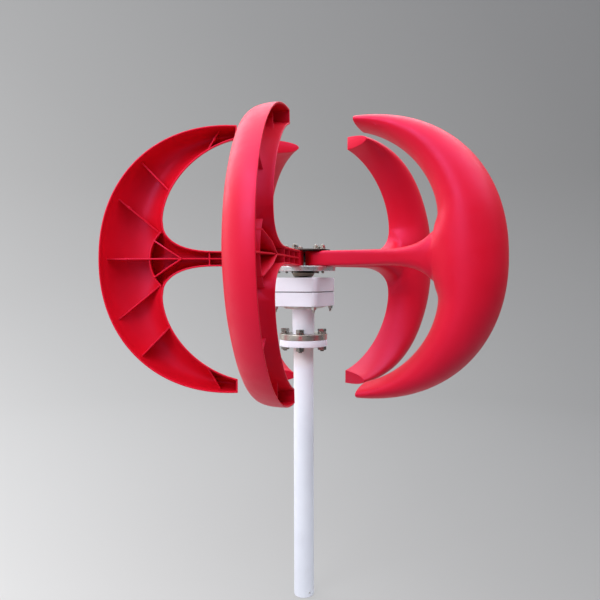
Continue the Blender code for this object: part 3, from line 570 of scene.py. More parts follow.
def form(r, z, inset):
    """How far the stem and the scoop together lie behind the rim at a radius and height."""
    z = abs(z)
    gauge = (abs((r - RIM_CENTRE) / (RIM_A - inset)) ** RIM_POWER + (z / (RIM_B - inset)) ** RIM_POWER) ** (1.0 / RIM_POWER)
    to_rim = math.hypot(r - RIM_CENTRE, z) * (1.0 / gauge - 1.0) if gauge > 1e-9 else 1e9
    over = max(z - HOLE_Z, 0.0)
    gauge = (max((r - HOLE_R) / (HOLE_A + inset), 0.0) ** HOLE_POWER + (over / (HOLE_B + inset)) ** HOLE_POWER) ** (1.0 / HOLE_POWER)
    to_hole = math.hypot(r - HOLE_R, over) * (1.0 - 1.0 / gauge) if gauge > 1e-9 else -1e9
    scoop = 0.0
    if to_rim > 0.0 and to_hole > 0.0:
        u = to_rim / (to_rim + to_hole)
        towards_tip = ease((z - CREST_START) / CREST_RANGE)
        p = CREST_MID - CREST_LESS * towards_tip
        full = SCOOP_DEPTH - TIP_LESS * (z / RIM_B) ** TIP_POWER - inset
        scoop = full * (u / p) ** (p * (1.0 + RIM_SOFT * towards_tip)) * ((1.0 - u) / (1.0 - p)) ** (1.0 - p)
    edge = HOLE_R + HOLE_A + inset
    if r <= edge:
        half = stem_half(r, inset)
        deep = STEM_DEPTH + (ROOT_DEPTH - STEM_DEPTH) * ease((r - 120.0) / (edge - 120.0)) - inset
        power = 8.0 - (8.0 - ROOT_POWER) * ease((r - 60.0) / (edge - 90.0))
        stem = deep * arch(z / half, power) ** (1.0 + ROOT_SOFT * ease((r - edge + 15.0) / 15.0)) if z < half else 0.0
    else:
        half = HOLE_Z + (r - edge)
        stem = (ROOT_DEPTH - inset) * (1.0 - ease((r - edge) / 95.0)) * arch(z / half, ROOT_POWER) ** (1.0 + ROOT_SOFT + 1.5 * ease((r - edge) / 15.0))
    return (scoop ** 2.5 + stem ** 2.5) ** 0.4


def depth(r, z, inset):
    """The shell's depth: the form, with the bend between stem and scoop eased along the radius."""
    edge = HOLE_R + HOLE_A + inset
    half = stem_half(r, inset) if r <= edge else HOLE_Z + r - edge
    reach = ROOT_BLEND * ease((r - edge + 60.0) / 40.0) * (1.0 - ease((r - edge - 20.0) / 40.0)) * (1.0 - ease((abs(z) / half - 0.12) / 0.38))
    if reach < 0.1:
        return form(r, z, inset)
    return sum(weight * form(r + reach * step, z, inset) for step, weight in ((-1.0, 1.0), (-0.5, 2.0), (0.0, 2.0), (0.5, 2.0), (1.0, 1.0))) / 8.0


def blade_shell(arm, middle, across, fillet, stem):
    """Closed shell: an outer and an inner skin of the same form, joined by a flat rim, end walls at the tips and a solid end to the stem."""
    verts, faces = [], []
    skins = []
    for inset in (0.0, WALL):
        tip = TIP_R + inset
        theta_tip, theta_low = rim_angle_at_r(tip, inset), rim_angle_at_z(RIM_JUNCTION_Z, inset)
        phi_tip = hole_angle_at_r(tip, inset)
        edge = HOLE_R + HOLE_A + inset
        ends = []
        for k in range(arm, 0, -1):
            part = k / arm
            ends.append((outer_rim(theta_low + (theta_tip - theta_low) * part, inset), hole_edge(phi_tip * part, inset), True))
        for k in range(middle + 1):
            level = math.sin(math.pi / 2 * (1.0 - 2.0 * k / middle))
            z_rim = RIM_JUNCTION_Z * level
            r_rim = outer_rim(rim_angle_at_z(abs(z_rim), inset), inset)[0]
            ends.append(((r_rim, z_rim), (edge, HOLE_Z * level), k in (0, middle)))
        for k in range(1, arm + 1):
            part = k / arm
            a, c = outer_rim(theta_low + (theta_tip - theta_low) * part, inset), hole_edge(phi_tip * part, inset)
            ends.append(((a[0], -a[1]), (c[0], -c[1]), True))
        grid = []
        for a, c, free in ends:
            row = []
            for j in range(across + 1):
                v = 0.5 - 0.5 * math.cos(math.pi * j / across)
                r, z = a[0] + (c[0] - a[0]) * v, a[1] + (c[1] - a[1]) * v
                on_rim = j == 0 or (j == across and free)
                row.append(len(verts))
                verts.append((r, RIM_LEVEL - (0.0 if on_rim else depth(r, z, inset)), z))
            grid.append(row)
        strip = [[grid[arm + k][across] for k in range(middle + 1)]]
        inner_end = STEM_END / 2 if inset == 0.0 else STEM_BLOCK
        radii = []
        for k in range(1, fillet + 1):
            angle = math.pi / 2 * k / fillet
            radii.append(FILLET_R + (FILLET_A + inset) * math.cos(angle) ** (2.0 / FILLET_POWER))
        radii[-1] = FILLET_R
        radii.extend(FILLET_R + (inner_end - FILLET_R) * k / stem for k in range(1, stem + 1))
        for r in radii:
            row = []
            for k in range(middle + 1):
                z = stem_half(r, inset) * math.sin(math.pi / 2 * (1.0 - 2.0 * k / middle))
                on_rim = k in (0, middle)
                row.append(len(verts))
                verts.append((r, RIM_LEVEL - (0.0 if on_rim else depth(r, z, inset)), z))
            strip.append(row)
        for rows in (grid, strip):
            for low, high in zip(rows, rows[1:]):
                for i in range(len(low) - 1):
                    faces.append((low[i], low[i + 1], high[i + 1], high[i]))
        faces.append(tuple(grid[0]))
        faces.append(tuple(grid[-1]))
        faces.append(tuple(strip[-1]))
        upper = [row[across] for row in grid[:arm + 1]] + [row[0] for row in strip[1:]]
        lower = [row[-1] for row in strip[:0:-1]] + [row[across] for row in grid[arm + middle:]]
        skins.append([row[0] for row in grid] + lower[::-1] + upper[::-1])
    outside, inside = skins
    for i in range(len(outside)):
        j = (i + 1) % len(outside)
        faces.append((outside[i], outside[j], inside[j], inside[i]))
    return verts, faces


def middle_of_wall(r, z):
    return RIM_LEVEL - depth(r, z, WALL / 2)


def rib(path, tops, thickness=RIB):
    """A plate standing on the shell along a path, with a softened free edge and a slight moulding draft."""
    rings = []
    for k, (r, z) in enumerate(path):
        before, after = path[max(k - 1, 0)], path[min(k + 1, len(path) - 1)]
        along = Vector((after[0] - before[0], after[1] - before[1])).normalized()
        side = Vector((-along.y, along.x)) * (thickness / 2)
        floor = middle_of_wall(r, z)
        top = max(tops[k], floor + 0.4)
        soft = min(0.7, (top - floor) * 0.4)
        row = []
        for s, t in ((1.12, floor), (-1.12, floor), (-1.0, top - soft), (-0.82, top - soft * 0.25), (-0.5, top), (0.5, top), (0.82, top - soft * 0.25), (1.0, top - soft)):
            row.append((r + side.x * s, t, z + side.y * s))
        rings.append(row)
    return loft(rings)


def stretched(points, values, steps):
    """Points and values along a polyline, evenly filled in."""
    path, tops = [], []
    for k in range(len(points) - 1):
        for s in range(steps):
            x = s / steps
            path.append(tuple(a + (b - a) * x for a, b in zip(points[k], points[k + 1])))
            tops.append(values[k] + (values[k + 1] - values[k]) * x)
    return path + [points[-1]], tops + [values[-1]]


def bridging_rib(inner, outer, top_inner, top_outer, steps):
    """A rib whose straight free edge runs from wall to wall of the scoop, given two points of its line."""
    def point(x):
        return (inner[0] + (outer[0] - inner[0]) * x, inner[1] + (outer[1] - inner[1]) * x)

    def height(x):
        return top_inner + (top_outer - top_inner) * x - middle_of_wall(*point(x))

    limits = []
    for start, way in ((0.5, -1.0), (0.5, 1.0)):
        low, high = start, start + way * 1.5
        for _ in range(60):
            x = low + way * 0.02
            if height(x) <= 0.0 or abs(x - start) > 1.5:
                high = x
                break
            low = x
        for _ in range(30):
            x = (low + high) / 2
            low, high = (x, high) if height(x) > 0.0 else (low, x)
        limits.append(low)
    path, tops = [], []
    for k in range(steps + 1):
        x = limits[0] + (limits[1] - limits[0]) * (0.5 - 0.5 * math.cos(math.pi * k / steps))
        path.append(point(x))
        tops.append(top_inner + (top_outer - top_inner) * x)
    return rib(path, tops)


def boss(r, z, top, radius=2.9, sides=20):
    """Round pad on a rib where the mould's ejector pin pushed it out."""
    floor = middle_of_wall(r, z)
    rows = [(radius * 1.1, floor), (radius, top - 0.5), (radius * 0.85, top - 0.1), (radius * 0.55, top)]
    rings = [[(r + radius_ * math.cos(2 * math.pi * i / sides), t, z + radius_ * math.sin(2 * math.pi * i / sides)) for i in range(sides)] for radius_, t in rows]
    return loft(rings)


def blade_ribs():
    spine_r = [STEM_BLOCK - 3.0, FILLET_R, 252.0, 310.0, 343.0, 388.0, 418.0, 440.0]
    spine_tops = [2.0, 1.0, 0.0, -4.5, -11.0, -19.0, -26.5, -32.0]
    made = [rib(*stretched([(r, 0.0) for r in spine_r], spine_tops, 5))]
    angles = [-45.0 + 3.75 * k for k in range(25)]
    path = [(258.0 + 85.0 * math.cos(math.radians(a)), 85.0 * math.sin(math.radians(a))) for a in angles]
    made.append(rib(path, [-15.0] * 25))
    for way in (1.0, -1.0):
        made.append(bridging_rib((296.0, 148.5 * way), (355.5, 210.5 * way), -17.0, -21.0, 18))
        made.append(bridging_rib((332.0, 67.5 * way), (406.0, 129.5 * way), -36.0, -31.0, 18))
        made.append(bridging_rib((215.5, 244.5 * way), (191.5, 287.0 * way), -16.0, -22.0, 14))
        made.append(rib(*stretched([(334.0, 41.5 * way), (304.0, 21.0 * way), (273.0, 0.4 * way)], [-12.0, -1.5, 0.6], 8)))
        made.append(boss(340.0, 194.5 * way, -28.6))
        made.append(boss(314.0, 167.1 * way, -22.9))
        made.append(boss(390.0, 116.2 * way, -32.1))
        made.append(boss(199.5, 272.8 * way, -20.0))
    made.append(boss(394.0, 0.0, -19.4))
    for radius in (211.0, 160.0, 109.0):
        half = stem_half(radius, WALL / 2)
        made.append(rib([(radius, half * (-1.0 + k / 6.0)) for k in range(13)], [0.7] * 13))
    return made


def leaned(shape):
    verts, faces = shape
    return [(r, t - TWIST * z, z + TWIST * t * ease((r - 70.0) / 60.0)) for r, t, z in verts], faces


def nose_cut():
    """Takes the back corner off the stem's inner end."""
    low = RIM_LEVEL - STEM_DEPTH
    slope = (low - NOSE_T) / (NOSE_R - STEM_END)
    inner, outer = STEM_END / 4, NOSE_R + 10.0
    outline = [(inner, NOSE_T + slope * (inner - STEM_END)), (outer, NOSE_T + slope * (outer - STEM_END)), (outer, low - 15.0), (inner, low - 15.0)]
    return loft([[(r, t, z) for r, t in outline] for z in (-STEM_HALF - 4.0, STEM_HALF + 4.0)])


def softened(mesh, width, segments, least=50.0):
    """Rounds the mesh's sharp outer edges."""
    work = bmesh.new()
    work.from_mesh(mesh)
    edges = [e for e in work.edges if len(e.link_faces) == 2 and e.is_convex and e.calc_face_angle(0.0) > math.radians(least)]
    bmesh.ops.bevel(work, geom=edges, offset=width * MM, offset_type="OFFSET", segments=segments, profile=0.5, affect="EDGES", clamp_overlap=True)
    work.to_mesh(mesh)
    work.free()
    return mesh


def blade_mesh():
    shell = softened(mesh_of("blade_shell", *leaned(blade_shell(40, 30, 26, 12, 12))), 0.9, 3)
    steps = [("UNION", leaned(shape)) for shape in blade_ribs()]
    for radius in CLAMP_RADII:
        steps.append(("DIFFERENCE", placed(drill(CLAMP_HOLE_R, -STEM_HALF - 4.0, STEM_HALF + 4.0), Matrix.Translation((radius, CLAMP_T, 0.0)))))
    steps.append(("DIFFERENCE", nose_cut()))
    steps.append(("DIFFERENCE", drill(STEM_END, -STEM_HALF - 4.0, STEM_HALF + 4.0, 72)))
    return worked("scoop_blade", shell, steps)


AZIMUTHS = [BLADE_AZIMUTH + 360.0 / BLADES * k for k in range(BLADES)]
scoop = blade_mesh()
for index, azimuth in enumerate(AZIMUTHS):
    show(f"scoop_blade_{index + 1}", scoop, RED, "rotor", f"blade_{index + 1}", turn(azimuth), 38.0)

# ================================================================ hub
CLAMPS = [turn(a) @ Matrix.Translation((r, CLAMP_T, 0.0)) for a in AZIMUTHS for r in CLAMP_RADII]


def clamp_holes(z0, z1):
    return [("DIFFERENCE", placed(drill(CLAMP_HOLE_R, z0, z1), m)) for m in CLAMPS]


disc = turned([(SHAFT_R + 0.5, DISC_BOTTOM, 0.5), (DISC_R, DISC_BOTTOM, 1.3), (DISC_R, DISC_TOP, 1.3), (SPIGOT_R, DISC_TOP, 0.0), (SPIGOT_R, SPIGOT_TOP, 0.8), (SHAFT_R + 0.5, SPIGOT_TOP, 0.5)])
keyway = loft([[(SHAFT_R - 2.0, -2.8, z), (SHAFT_R + 3.2, -2.8, z), (SHAFT_R + 3.2, 2.8, z), (SHAFT_R - 2.0, 2.8, z)] for z in (-31.0, -5.0)])
show("hub_disc", worked("hub_disc", disc, clamp_holes(DISC_BOTTOM - 3, DISC_TOP + 3) + [("DIFFERENCE", keyway)]), ALUMINIUM, "rotor", "hub_flange")

plate_rows = [ring(ROUND, PLATE_R - 0.7, PLATE_BOTTOM), ring(ROUND, PLATE_R, PLATE_BOTTOM + 0.6), ring(ROUND, PLATE_R, PLATE_TOP - 0.9), ring(ROUND, PLATE_R - 0.3, PLATE_TOP - 0.25), ring(ROUND, PLATE_R - 0.9, PLATE_TOP)]
show("clamp_plate", worked("clamp_plate", loft(plate_rows), clamp_holes(PLATE_BOTTOM - 3, PLATE_TOP + 3)), DARK, "rotor", "hub_top_plate")

seated = PLATE_TOP + GAP
clamp_rows = thread_rows(3.0, 1.0, DISC_BOTTOM - 4.5, DISC_BOTTOM + 0.5, -1) + [ring(SIDES, 3.0, DISC_BOTTOM + 0.6), ring(SIDES, 3.0, seated)]
clamp_rows += washer_rows(6.0, seated, seated + 1.5, 0.3) + washer_rows(5.1, seated + 1.5, seated + 3.0, 0.3) + hex_rows(10.0, seated + 3.0, seated + 8.0, high=True)
clamp_rows += [ring(SIDES, 3.0, seated + 8.0)] + thread_rows(3.0, 1.0, seated + 8.1, seated + 10.6, 1)
each("clamp_bolt", mesh_of("clamp_bolt", *loft(clamp_rows)), CLAMPS, CLAMP, "rotor", "blade_bolt")

# ================================================================ shaft
shaft_rows = [ring(SIDES, r, z) for r, z in ((FOOT_R - 0.8, -101.5), (FOOT_R, -100.7), (FOOT_R, -87.2), (CORE_SEAT_R, -87.2), (CORE_SEAT_R, -60.6), (SHAFT_R, -60.6), (SHAFT_R, -9.6), (SHAFT_R - 0.5, -9.0), (THREAD_R - 1.1, -9.0), (THREAD_R - 1.1, -7.5))]
shaft_rows += thread_rows(THREAD_R, 2.0, -7.4, 12.0, 1)
key_seat = loft([[(SHAFT_R - 3.0, -2.8, z), (SHAFT_R + 3.0, -2.8, z), (SHAFT_R + 3.0, 2.8, z), (SHAFT_R - 3.0, 2.8, z)] for z in (-26.6, -15.6)])
show("turned_shaft", worked("turned_shaft", loft(shaft_rows), [("DIFFERENCE", key_seat)]), DARK, "rotor", "generator_shaft")

nut_z = SPIGOT_TOP + GAP
nut_rows = washer_rows(16.0, nut_z, nut_z + 2.4) + hex_rows(24.0, nut_z + 2.4, nut_z + 14.4, low=True, high=True)
nut_rows += [ring(SIDES, THREAD_R + 0.9, nut_z + 14.4), ring(SIDES, THREAD_R + 0.6, nut_z + 13.6), ring(SIDES, THREAD_R + 0.6, nut_z)]
show("hub_nut", loft(nut_rows, cyclic=True), DARK, "rotor", "shaft_nut")

collar = [(SHAFT_R + 0.6, -39.8, 0.3), (22.0, -39.8, 0.5), (22.0, -38.6, 0.2), (23.4, -36.9, 0.3), (26.2, -32.0, 0.3), (27.0, -31.2, 0.4), (27.0, DISC_BOTTOM - GAP, 0.4), (SHAFT_R + 0.6, DISC_BOTTOM - GAP, 0.3)]
show("tapered_collar", turned(collar), straw_steel_with_painted_shade(), "rotor", "shaft_collar")
show("dust_lip", turned([(SHAFT_R + 0.6, -42.0, 0.2), (20.0, -42.0, 0.5), (20.0, -40.2, 0.4), (SHAFT_R + 0.6, -40.2, 0.2)], 96), RUBBER, "rotor", "dust_ring")

# ================================================================ generator housing
BOX = turn(BOX_TURN)
CORNERS = [(x * BOX_BOLT, y * BOX_BOLT) for x, y in ((1, 1), (-1, 1), (-1, -1), (1, -1))]


def rounded_square(inset, z, steps=14):
    """A square outline with round corners that stand a little proud of the flat sides."""
    side, radius = BOX_SIDE - 2 * inset, BOX_RADIUS - inset
    half = side / 2 - radius
    sunk = PANEL_SUNK * max(0.0, 1.0 - inset / 1.2)
    points = []
    for corner in range(4):
        x, y = half * (1 if corner in (0, 3) else -1), half * (1 if corner in (0, 1) else -1)
        first, last = math.pi / 2 * corner, math.pi / 2 * (corner + 1)
        for back, less in ((2.4, sunk), (1.2, 0.0)):
            points.append((x + (radius - less) * math.cos(first) + back * math.sin(first), y + (radius - less) * math.sin(first) - back * math.cos(first), z))
        for step in range(steps + 1):
            angle = first + (last - first) * step / steps
            points.append((x + radius * math.cos(angle), y + radius * math.sin(angle), z))
        for on, less in ((1.2, 0.0), (2.4, sunk)):
            points.append((x + (radius - less) * math.cos(last) - on * math.sin(last), y + (radius - less) * math.sin(last) + on * math.cos(last), z))
    return points


def corner_cut(radius, z0, z1):
    return [("DIFFERENCE", placed(drill(radius, z0, z1), Matrix.Translation((x, y, 0.0)))) for x, y in CORNERS]


def soft_box(z0, z1, low, high, steps=4):
    """Rows of a square block whose lower and upper edges are rounded by the given radii."""
    rows = []
    for s in range(steps + 1):
        a = math.pi / 2 * s / steps
        rows.append(rounded_square(low * (1 - math.sin(a)), z0 + low * (1 - math.cos(a))))
    for s in range(steps + 1):
        a = math.pi / 2 * s / steps
        rows.append(rounded_square(high * (1 - math.cos(a)), z1 - high * (1 - math.sin(a))))
    return loft(rows)


def bored(profile, count=96):
    """A turned cutter whose profile starts and ends on the axis."""
    verts, faces, rows = [], [], []
    for r, z in profile:
        if r == 0.0:
            rows.append([len(verts)] * count)
            verts.append((0.0, 0.0, z))
        else:
            rows.append(list(range(len(verts), len(verts) + count)))
            verts.extend(ring(count, r, z))
    for low, high in zip(rows, rows[1:]):
        for i in range(count):
            j = (i + 1) % count
            face = []
            for v in (low[i], low[j], high[j], high[i]):
                if v not in face:
                    face.append(v)
            if len(face) > 2:
                faces.append(tuple(face))
    return verts, faces


upper_bore = bored([(0.0, -40.0), (15.0, -40.0), (15.0, -46.0), (23.9, -46.0), (23.9, -60.5), (25.3, -60.5), (25.3, -62.1), (23.9, -62.1),
                    (23.9, -63.2), (29.4, -63.2), (29.4, -50.5), (CAVITY_R, -50.5), (CAVITY_R, -80.0), (0.0, -80.0)])
upper_block = soft_box(BOX_SEAM + SEAM_HALF, BOX_TOP, 2.0, 2.4)
show("upper_shell", worked("upper_shell", upper_block, [("DIFFERENCE", upper_bore)] + corner_cut(3.6, -90.0, -44.0) + corner_cut(5.8, -49.0, -40.0)), WHITE, "mast", "upper_housing", BOX)

lower_bore = bored([(0.0, -101.8), (20.4, -101.8), (20.4, -87.2), (26.0, -87.2), (26.0, -98.5), (CAVITY_R, -98.5), (CAVITY_R, -70.0), (0.0, -70.0)])
SCREWS = [at(41.0, 45.0 + 90.0 * k) for k in range(4)]
lower_block = soft_box(BOX_BOTTOM, BOX_SEAM - SEAM_HALF, 2.4, 2.0)
cuts = [("DIFFERENCE", lower_bore)] + corner_cut(3.6, -110.0, -70.0)
cuts += [("DIFFERENCE", placed(drill(3.1, -110.0, -101.0), m)) for m in SCREWS]
lead_slot = loft([[(12.0, -3.0, z), (31.0, -3.0, z), (31.0, 3.0, z), (12.0, 3.0, z)] for z in (-112.0, -103.4)])
cuts += [("DIFFERENCE", placed(drill(3.7, -112.0, -95.0), at(31.0, 0.0))), ("DIFFERENCE", lead_slot)]
show("lower_shell", worked("lower_shell", lower_block, cuts), WHITE, "mast", "lower_housing", BOX)

gasket = loft([rounded_square(3.2, BOX_SEAM - 0.7), rounded_square(3.2, BOX_SEAM + 0.7)])
show("seam_gasket", worked("seam_gasket", gasket, [("DIFFERENCE", drill(CAVITY_R + 0.2, -80.0, -70.0, 96))] + corner_cut(3.6, -80.0, -70.0)), RUBBER, "mast", "housing_gasket", BOX)

nut_top = BOX_BOTTOM - GAP
corner_rows = thread_rows(3.0, 1.0, -119.6, nut_top - 6.5, -1) + [ring(SIDES, 3.0, nut_top - 6.4)] + hex_rows(10.0, nut_top - 6.4, nut_top, low=True, high=True)
corner_rows += [ring(SIDES, 3.0, nut_top), ring(SIDES, 3.0, -48.7), ring(SIDES, 4.8, -48.7), ring(SIDES, 5.0, -48.5), ring(SIDES, 5.0, -43.3), ring(SIDES, 4.6, -42.9), ring(SIDES, 4.2, -42.8)]
socket = []
for z in (-46.0, -42.0):
    socket.append([(5.0 / math.sqrt(3.0) * math.cos(math.pi / 3 * i), 5.0 / math.sqrt(3.0) * math.sin(math.pi / 3 * i), z) for i in range(6)])
corner_mesh = worked("corner_bolt", loft(corner_rows), [("DIFFERENCE", loft(socket))])
each("corner_bolt", corner_mesh, [Matrix.Translation((x, y, 0.0)) for x, y in CORNERS], ZINC, "mast", "housing_bolt", BOX)

# ================================================================ neck
neck = turned([(NECK_BORE, NECK_FLANGE_BOTTOM, 0.4), (NECK_R, NECK_FLANGE_BOTTOM, 0.4), (NECK_R, NECK_PLATE_BOTTOM, 1.8), (NECK_PLATE_FOOT, NECK_PLATE_BOTTOM, 0.8), (NECK_PLATE_R, NECK_PLATE_EDGE, 0.5),
               (NECK_PLATE_R, BOX_BOTTOM - GAP, 0.6), (NECK_BORE, BOX_BOTTOM - GAP, 0.4)])
show("neck_pipe", worked("neck_pipe", neck, [("DIFFERENCE", placed(drill(radius, -118.0, top), m)) for radius, top in ((3.1, -104.0), (5.2, SCREW_SEAT)) for m in SCREWS]), NECK, "mast", "neck_tube", BOX)

low = SCREW_SEAT - GAP
screw_rows = [ring(SIDES, r, z) for r, z in ((2.4, low - 2.8), (3.4, low - 2.55), (4.05, low - 1.9), (4.3, low - 0.9), (4.3, low), (2.5, low), (2.5, -101.9), (2.0, -101.4))]
cross = []
for z in (low - 4.0, low - 1.5):
    cross.append([(x * 0.55, y * 0.55, z) for x, y in ((1, 1), (4, 1), (4, -1), (1, -1), (1, -4), (-1, -4), (-1, -1), (-4, -1), (-4, 1), (-1, 1), (-1, 4), (1, 4))])
screw_mesh = worked("pan_screw", loft(screw_rows), [("DIFFERENCE", loft(cross))])
each("pan_screw", screw_mesh, SCREWS, ZINC, "mast", "neck_screw", BOX)

# ================================================================ flanges
FLANGE_SPOTS = [at(FLANGE_PITCH_R, FLANGE_AZIMUTH + 90.0 * k) for k in range(4)]


def flange(name, bore, z0, z1, soft):
    body = turned([(bore, z0, 0.5), (FLANGE_R, z0, soft), (FLANGE_R, z1, soft), (bore, z1, 0.5)])
    return worked(name, body, [("DIFFERENCE", placed(drill(5.55, z0 - 3, z1 + 3, 36), m)) for m in FLANGE_SPOTS])


show("steel_flange", flange("steel_flange", NECK_R + 0.45, NECK_FLANGE_BOTTOM, NECK_FLANGE_TOP, 0.9), FLANGE, "mast", "neck_flange")
show("painted_flange", flange("painted_flange", MAST_R + 0.45, MAST_FLANGE_BOTTOM, MAST_FLANGE_TOP, 1.8), WHITE, "mast", "mast_flange")

seat = NECK_FLANGE_TOP + GAP
thread_top = MAST_FLANGE_BOTTOM - 0.5
bolt_rows = thread_rows(5.0, 1.5, MAST_FLANGE_BOTTOM - 11.7, thread_top, -1) + [ring(SIDES, 5.0, thread_top + 0.6), ring(SIDES, 5.0, seat)]
bolt_rows += washer_rows(10.0, seat, seat + 2.0, 0.35) + washer_rows(8.9, seat + 2.0, seat + 4.6, 0.4) + hex_rows(17.0, seat + 4.6, seat + 11.0, high=True)
each("m10_bolt", mesh_of("m10_bolt", *loft(bolt_rows)), FLANGE_SPOTS, BOLT, "mast", "flange_bolt")
nut_low = MAST_FLANGE_BOTTOM - GAP - 8.4
flange_nut_rows = hex_rows(17.0, nut_low, nut_low + 8.4, low=True, high=True) + [ring(SIDES, 6.0, nut_low + 8.4), ring(SIDES, 5.5, nut_low + 7.9), ring(SIDES, 5.5, nut_low + 0.5), ring(SIDES, 6.0, nut_low)]
each("m10_nut", mesh_of("m10_nut", *loft(flange_nut_rows, cyclic=True)), FLANGE_SPOTS, BOLT, "mast", "flange_nut")

# ================================================================ mast
tube = turned([(MAST_BORE, -MID_Z, 0.4), (MAST_R, -MID_Z, 0.6), (MAST_R, MAST_FLANGE_TOP - 0.2, 0.4), (MAST_BORE, MAST_FLANGE_TOP - 0.2, 0.4)])
side_hole = placed(drill(MAST_HOLE_R, 10.0, 40.0, 36), turn(MAST_HOLE_AZIMUTH) @ Matrix.Translation((0.0, 0.0, MAST_HOLE_Z - MID_Z)) @ Matrix.Rotation(math.pi / 2, 4, "Y"))
show("mast_pipe", worked("mast_pipe", tube, [("DIFFERENCE", side_hole)]), SHADE_AND_RUST_PAINT, "mast", "mast_tube")

# ================================================================ pieces inside the generator keep their solids
FINISHES = {"bearing_steel": STEEL, "zinc_steel": ZINC, "black_rubber": RUBBER, "copper_wire": COPPER, "core_steel": LAMINATE, "plated_magnet": MAGNET}
for part in frame["record"]["subparts"]:
    solid = nodes[part["node"]]
    if not solid.hide_render:
        solid.data.materials.clear()
        solid.data.materials.append(FINISHES[part["material_slot"]])

# ================================================================ studio
FLOOR_R, SWEEP_R, WALL_TOP = 2.6, 1.6, 3.6
# the paper's glow is painted light: its grey levels, how it darkens across and upwards, and its strength behind and in
# front of the turbine
STAGE_LEVEL, STAGE_ACROSS, STAGE_UP = 148.0, 69.0, 65.0
STAGE_GLOW, STAGE_NEAR = 0.90, 0.38     # behind the turbine and in front of it
SKY_EVEN, SKY_ZENITH, SKY_LEFT = 2.6, 0.0, 0.0


def stage_profile():
    points = [(0.0, 0.0), (0.6, 0.0), (1.4, 0.0), (FLOOR_R, 0.0)]
    for k in range(1, 17):
        a = math.pi / 2 * k / 16
        points.append((FLOOR_R + SWEEP_R * math.sin(a), SWEEP_R * (1 - math.cos(a))))
    return points + [(FLOOR_R + SWEEP_R, WALL_TOP)]


stage_verts, stage_faces, rows = [], [], []
for r, z in stage_profile():
    if r == 0.0:
        rows.append([0] * 96)
        stage_verts.append((0.0, 0.0, -0.0004))
    else:
        rows.append(list(range(len(stage_verts), len(stage_verts) + 96)))
        stage_verts.extend((r * math.cos(2 * math.pi * i / 96), r * math.sin(2 * math.pi * i / 96), z - 0.0004) for i in range(96))
for inner_row, outer_row in zip(rows, rows[1:]):
    for i in range(96):
        j = (i + 1) % 96
        face = []
        for v in (inner_row[i], inner_row[j], outer_row[j], outer_row[i]):
            if v not in face:
                face.append(v)
        stage_faces.append(tuple(face))
stage_mesh = bpy.data.meshes.new("studio_sweep")
stage_mesh.from_pydata(stage_verts, [], stage_faces)
for face in stage_mesh.polygons:
    face.use_smooth = True
sweep = bpy.data.objects.new("studio_sweep", stage_mesh)
scene.collection.objects.link(sweep)

paper = bpy.data.materials.new("studio_paper_painted_glow")
paper.use_nodes = True
tree = paper.node_tree
tree.nodes.clear()
out = tree.nodes.new("ShaderNodeOutputMaterial")
coord = tree.nodes.new("ShaderNodeTexCoord")
split = tree.nodes.new("ShaderNodeSeparateXYZ")
tree.links.new(coord.outputs["Object"], split.inputs["Vector"])


def maths(operation, *values):
    made = tree.nodes.new("ShaderNodeMath")
    made.operation = operation
    for index, value in enumerate(values):
        if isinstance(value, bpy.types.NodeSocket):
            tree.links.new(value, made.inputs[index])
        else:
            made.inputs[index].default_value = value
    return made.outputs["Value"]


def grey(level):
    """Linear value of a grey on the usual 0 to 255 scale."""
    return ((level / 255.0 + 0.055) / 1.055) ** 2.4


# the paper glows with painted light that darkens towards the right and upwards, in proportion to its distance
DARKEST, BRIGHTEST = 45.0, 238.0
away = maths("ADD", maths("MAXIMUM", split.outputs["Y"], 0.0), 1.42)
across = maths("DIVIDE", split.outputs["X"], away)
upwards = maths("DIVIDE", maths("SUBTRACT", split.outputs["Z"], 0.71), away)
level = maths("MULTIPLY_ADD", across, -STAGE_ACROSS / (BRIGHTEST - DARKEST), (STAGE_LEVEL - DARKEST) / (BRIGHTEST - DARKEST))
level = maths("MULTIPLY_ADD", upwards, -STAGE_UP / (BRIGHTEST - DARKEST), level)
fade = tree.nodes.new("ShaderNodeValToRGB")
STOPS = 8
while len(fade.color_ramp.elements) < STOPS:
    fade.color_ramp.elements.new(0.5)
for index, element in enumerate(fade.color_ramp.elements):
    element.position = index / (STOPS - 1)
    shade = grey(DARKEST + (BRIGHTEST - DARKEST) * index / (STOPS - 1))
    element.color = (shade, shade, shade, 1.0)
tree.links.new(level, fade.inputs["Fac"])
glow = tree.nodes.new("ShaderNodeEmission")
nearer = tree.nodes.new("ShaderNodeMapRange")
nearer.interpolation_type = "SMOOTHSTEP"
for socket, number in (("From Min", -2.2), ("From Max", -0.05), ("To Min", STAGE_NEAR), ("To Max", STAGE_GLOW)):
    nearer.inputs[socket].default_value = number
tree.links.new(split.outputs["Y"], nearer.inputs["Value"])
tree.links.new(nearer.outputs["Result"], glow.inputs["Strength"])
tree.links.new(fade.outputs["Color"], glow.inputs["Color"])
matt = tree.nodes.new("ShaderNodeBsdfDiffuse")
matt.inputs["Color"].default_value = (0.10, 0.10, 0.10, 1.0)
both = tree.nodes.new("ShaderNodeAddShader")
tree.links.new(glow.outputs["Emission"], both.inputs[0])
tree.links.new(matt.outputs["BSDF"], both.inputs[1])
tree.links.new(both.outputs["Shader"], out.inputs["Surface"])
stage_mesh.materials.append(paper)
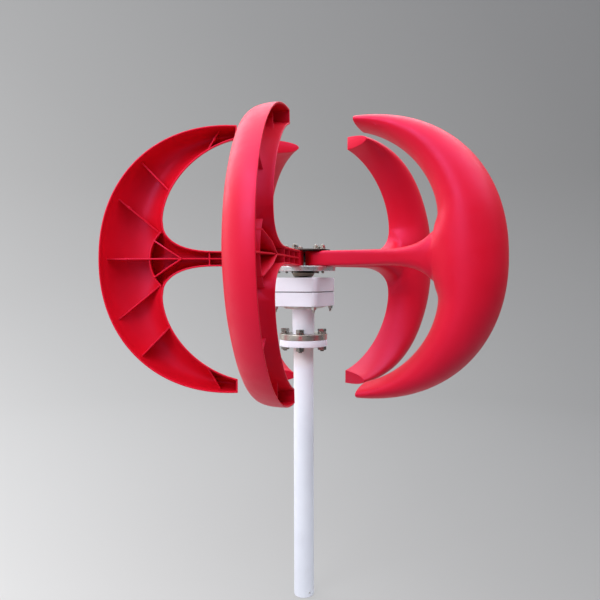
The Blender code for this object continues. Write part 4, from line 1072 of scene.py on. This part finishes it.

# soft light from a bright ceiling; the weights for more light overhead and to the left stand at nothing, so it is even
world = bpy.data.worlds.new("studio_air")
scene.world = world
world.use_nodes = True
tree = world.node_tree
sky = tree.nodes["Background"]
sky.inputs["Strength"].default_value = 1.0
direction = tree.nodes.new("ShaderNodeSeparateXYZ")
tree.links.new(tree.nodes.new("ShaderNodeTexCoord").outputs["Generated"], direction.inputs["Vector"])
lit = maths("MULTIPLY_ADD", maths("MAXIMUM", direction.outputs["Z"], 0.0), SKY_ZENITH, SKY_EVEN)
lit = maths("MULTIPLY_ADD", maths("MAXIMUM", maths("MULTIPLY", direction.outputs["X"], -1.0), 0.0), SKY_LEFT, lit)
tint = tree.nodes.new("ShaderNodeCombineColor")
for channel, share in (("Red", 0.97), ("Green", 0.99), ("Blue", 1.06)):
    tree.links.new(maths("MULTIPLY", lit, share), tint.inputs[channel])
tree.links.new(tint.outputs["Color"], sky.inputs["Color"])


def softbox(name, place, target, width, height, power, colour=(1.0, 1.0, 1.0)):
    lamp = bpy.data.lights.new(name, "AREA")
    lamp.shape = "RECTANGLE"
    lamp.size, lamp.size_y = width, height
    lamp.energy = power
    lamp.color = colour
    obj = bpy.data.objects.new(name, lamp)
    scene.collection.objects.link(obj)
    obj.location = place
    obj.rotation_mode = "QUATERNION"
    obj.rotation_quaternion = (Vector(target) - Vector(place)).to_track_quat("-Z", "Y")
    obj.visible_camera = False
    return obj


KEY, RIM, FILL = 54.0, 30.0, 9.0
softbox("key_light", (-1.9, -2.2, 2.3), (0.0, 0.0, 0.75), 1.7, 1.7, KEY)
softbox("rim_light", (-2.3, 1.7, 2.2), (0.0, 0.0, 0.75), 2.0, 1.8, RIM)
softbox("fill_light", (2.3, -1.0, 2.7), (0.0, 0.0, 0.75), 1.6, 1.6, FILL)

# ================================================================ camera
lens = bpy.data.cameras.new("camera")
lens.sensor_width = 36.0
lens.lens = 626.7 / 600.0 * 36.0
lens.shift_y = (284.16 - 300.0) / 600.0
lens.clip_start = 0.01
lens.dof.use_dof = False
camera = bpy.data.objects.new("camera", lens)
scene.collection.objects.link(camera)
place = Matrix.Translation((0.0, -1.4245, (MID_Z - 49.6) * MM))
camera.matrix_world = place @ Matrix.Rotation(0.0053, 4, "Z") @ Matrix.Rotation(math.pi / 2 - 0.0054, 4, "X") @ Matrix.Rotation(-0.0026, 4, "Z")
scene.camera = camera
scene.view_settings.view_transform = "Standard"
scene.view_settings.look = "None"
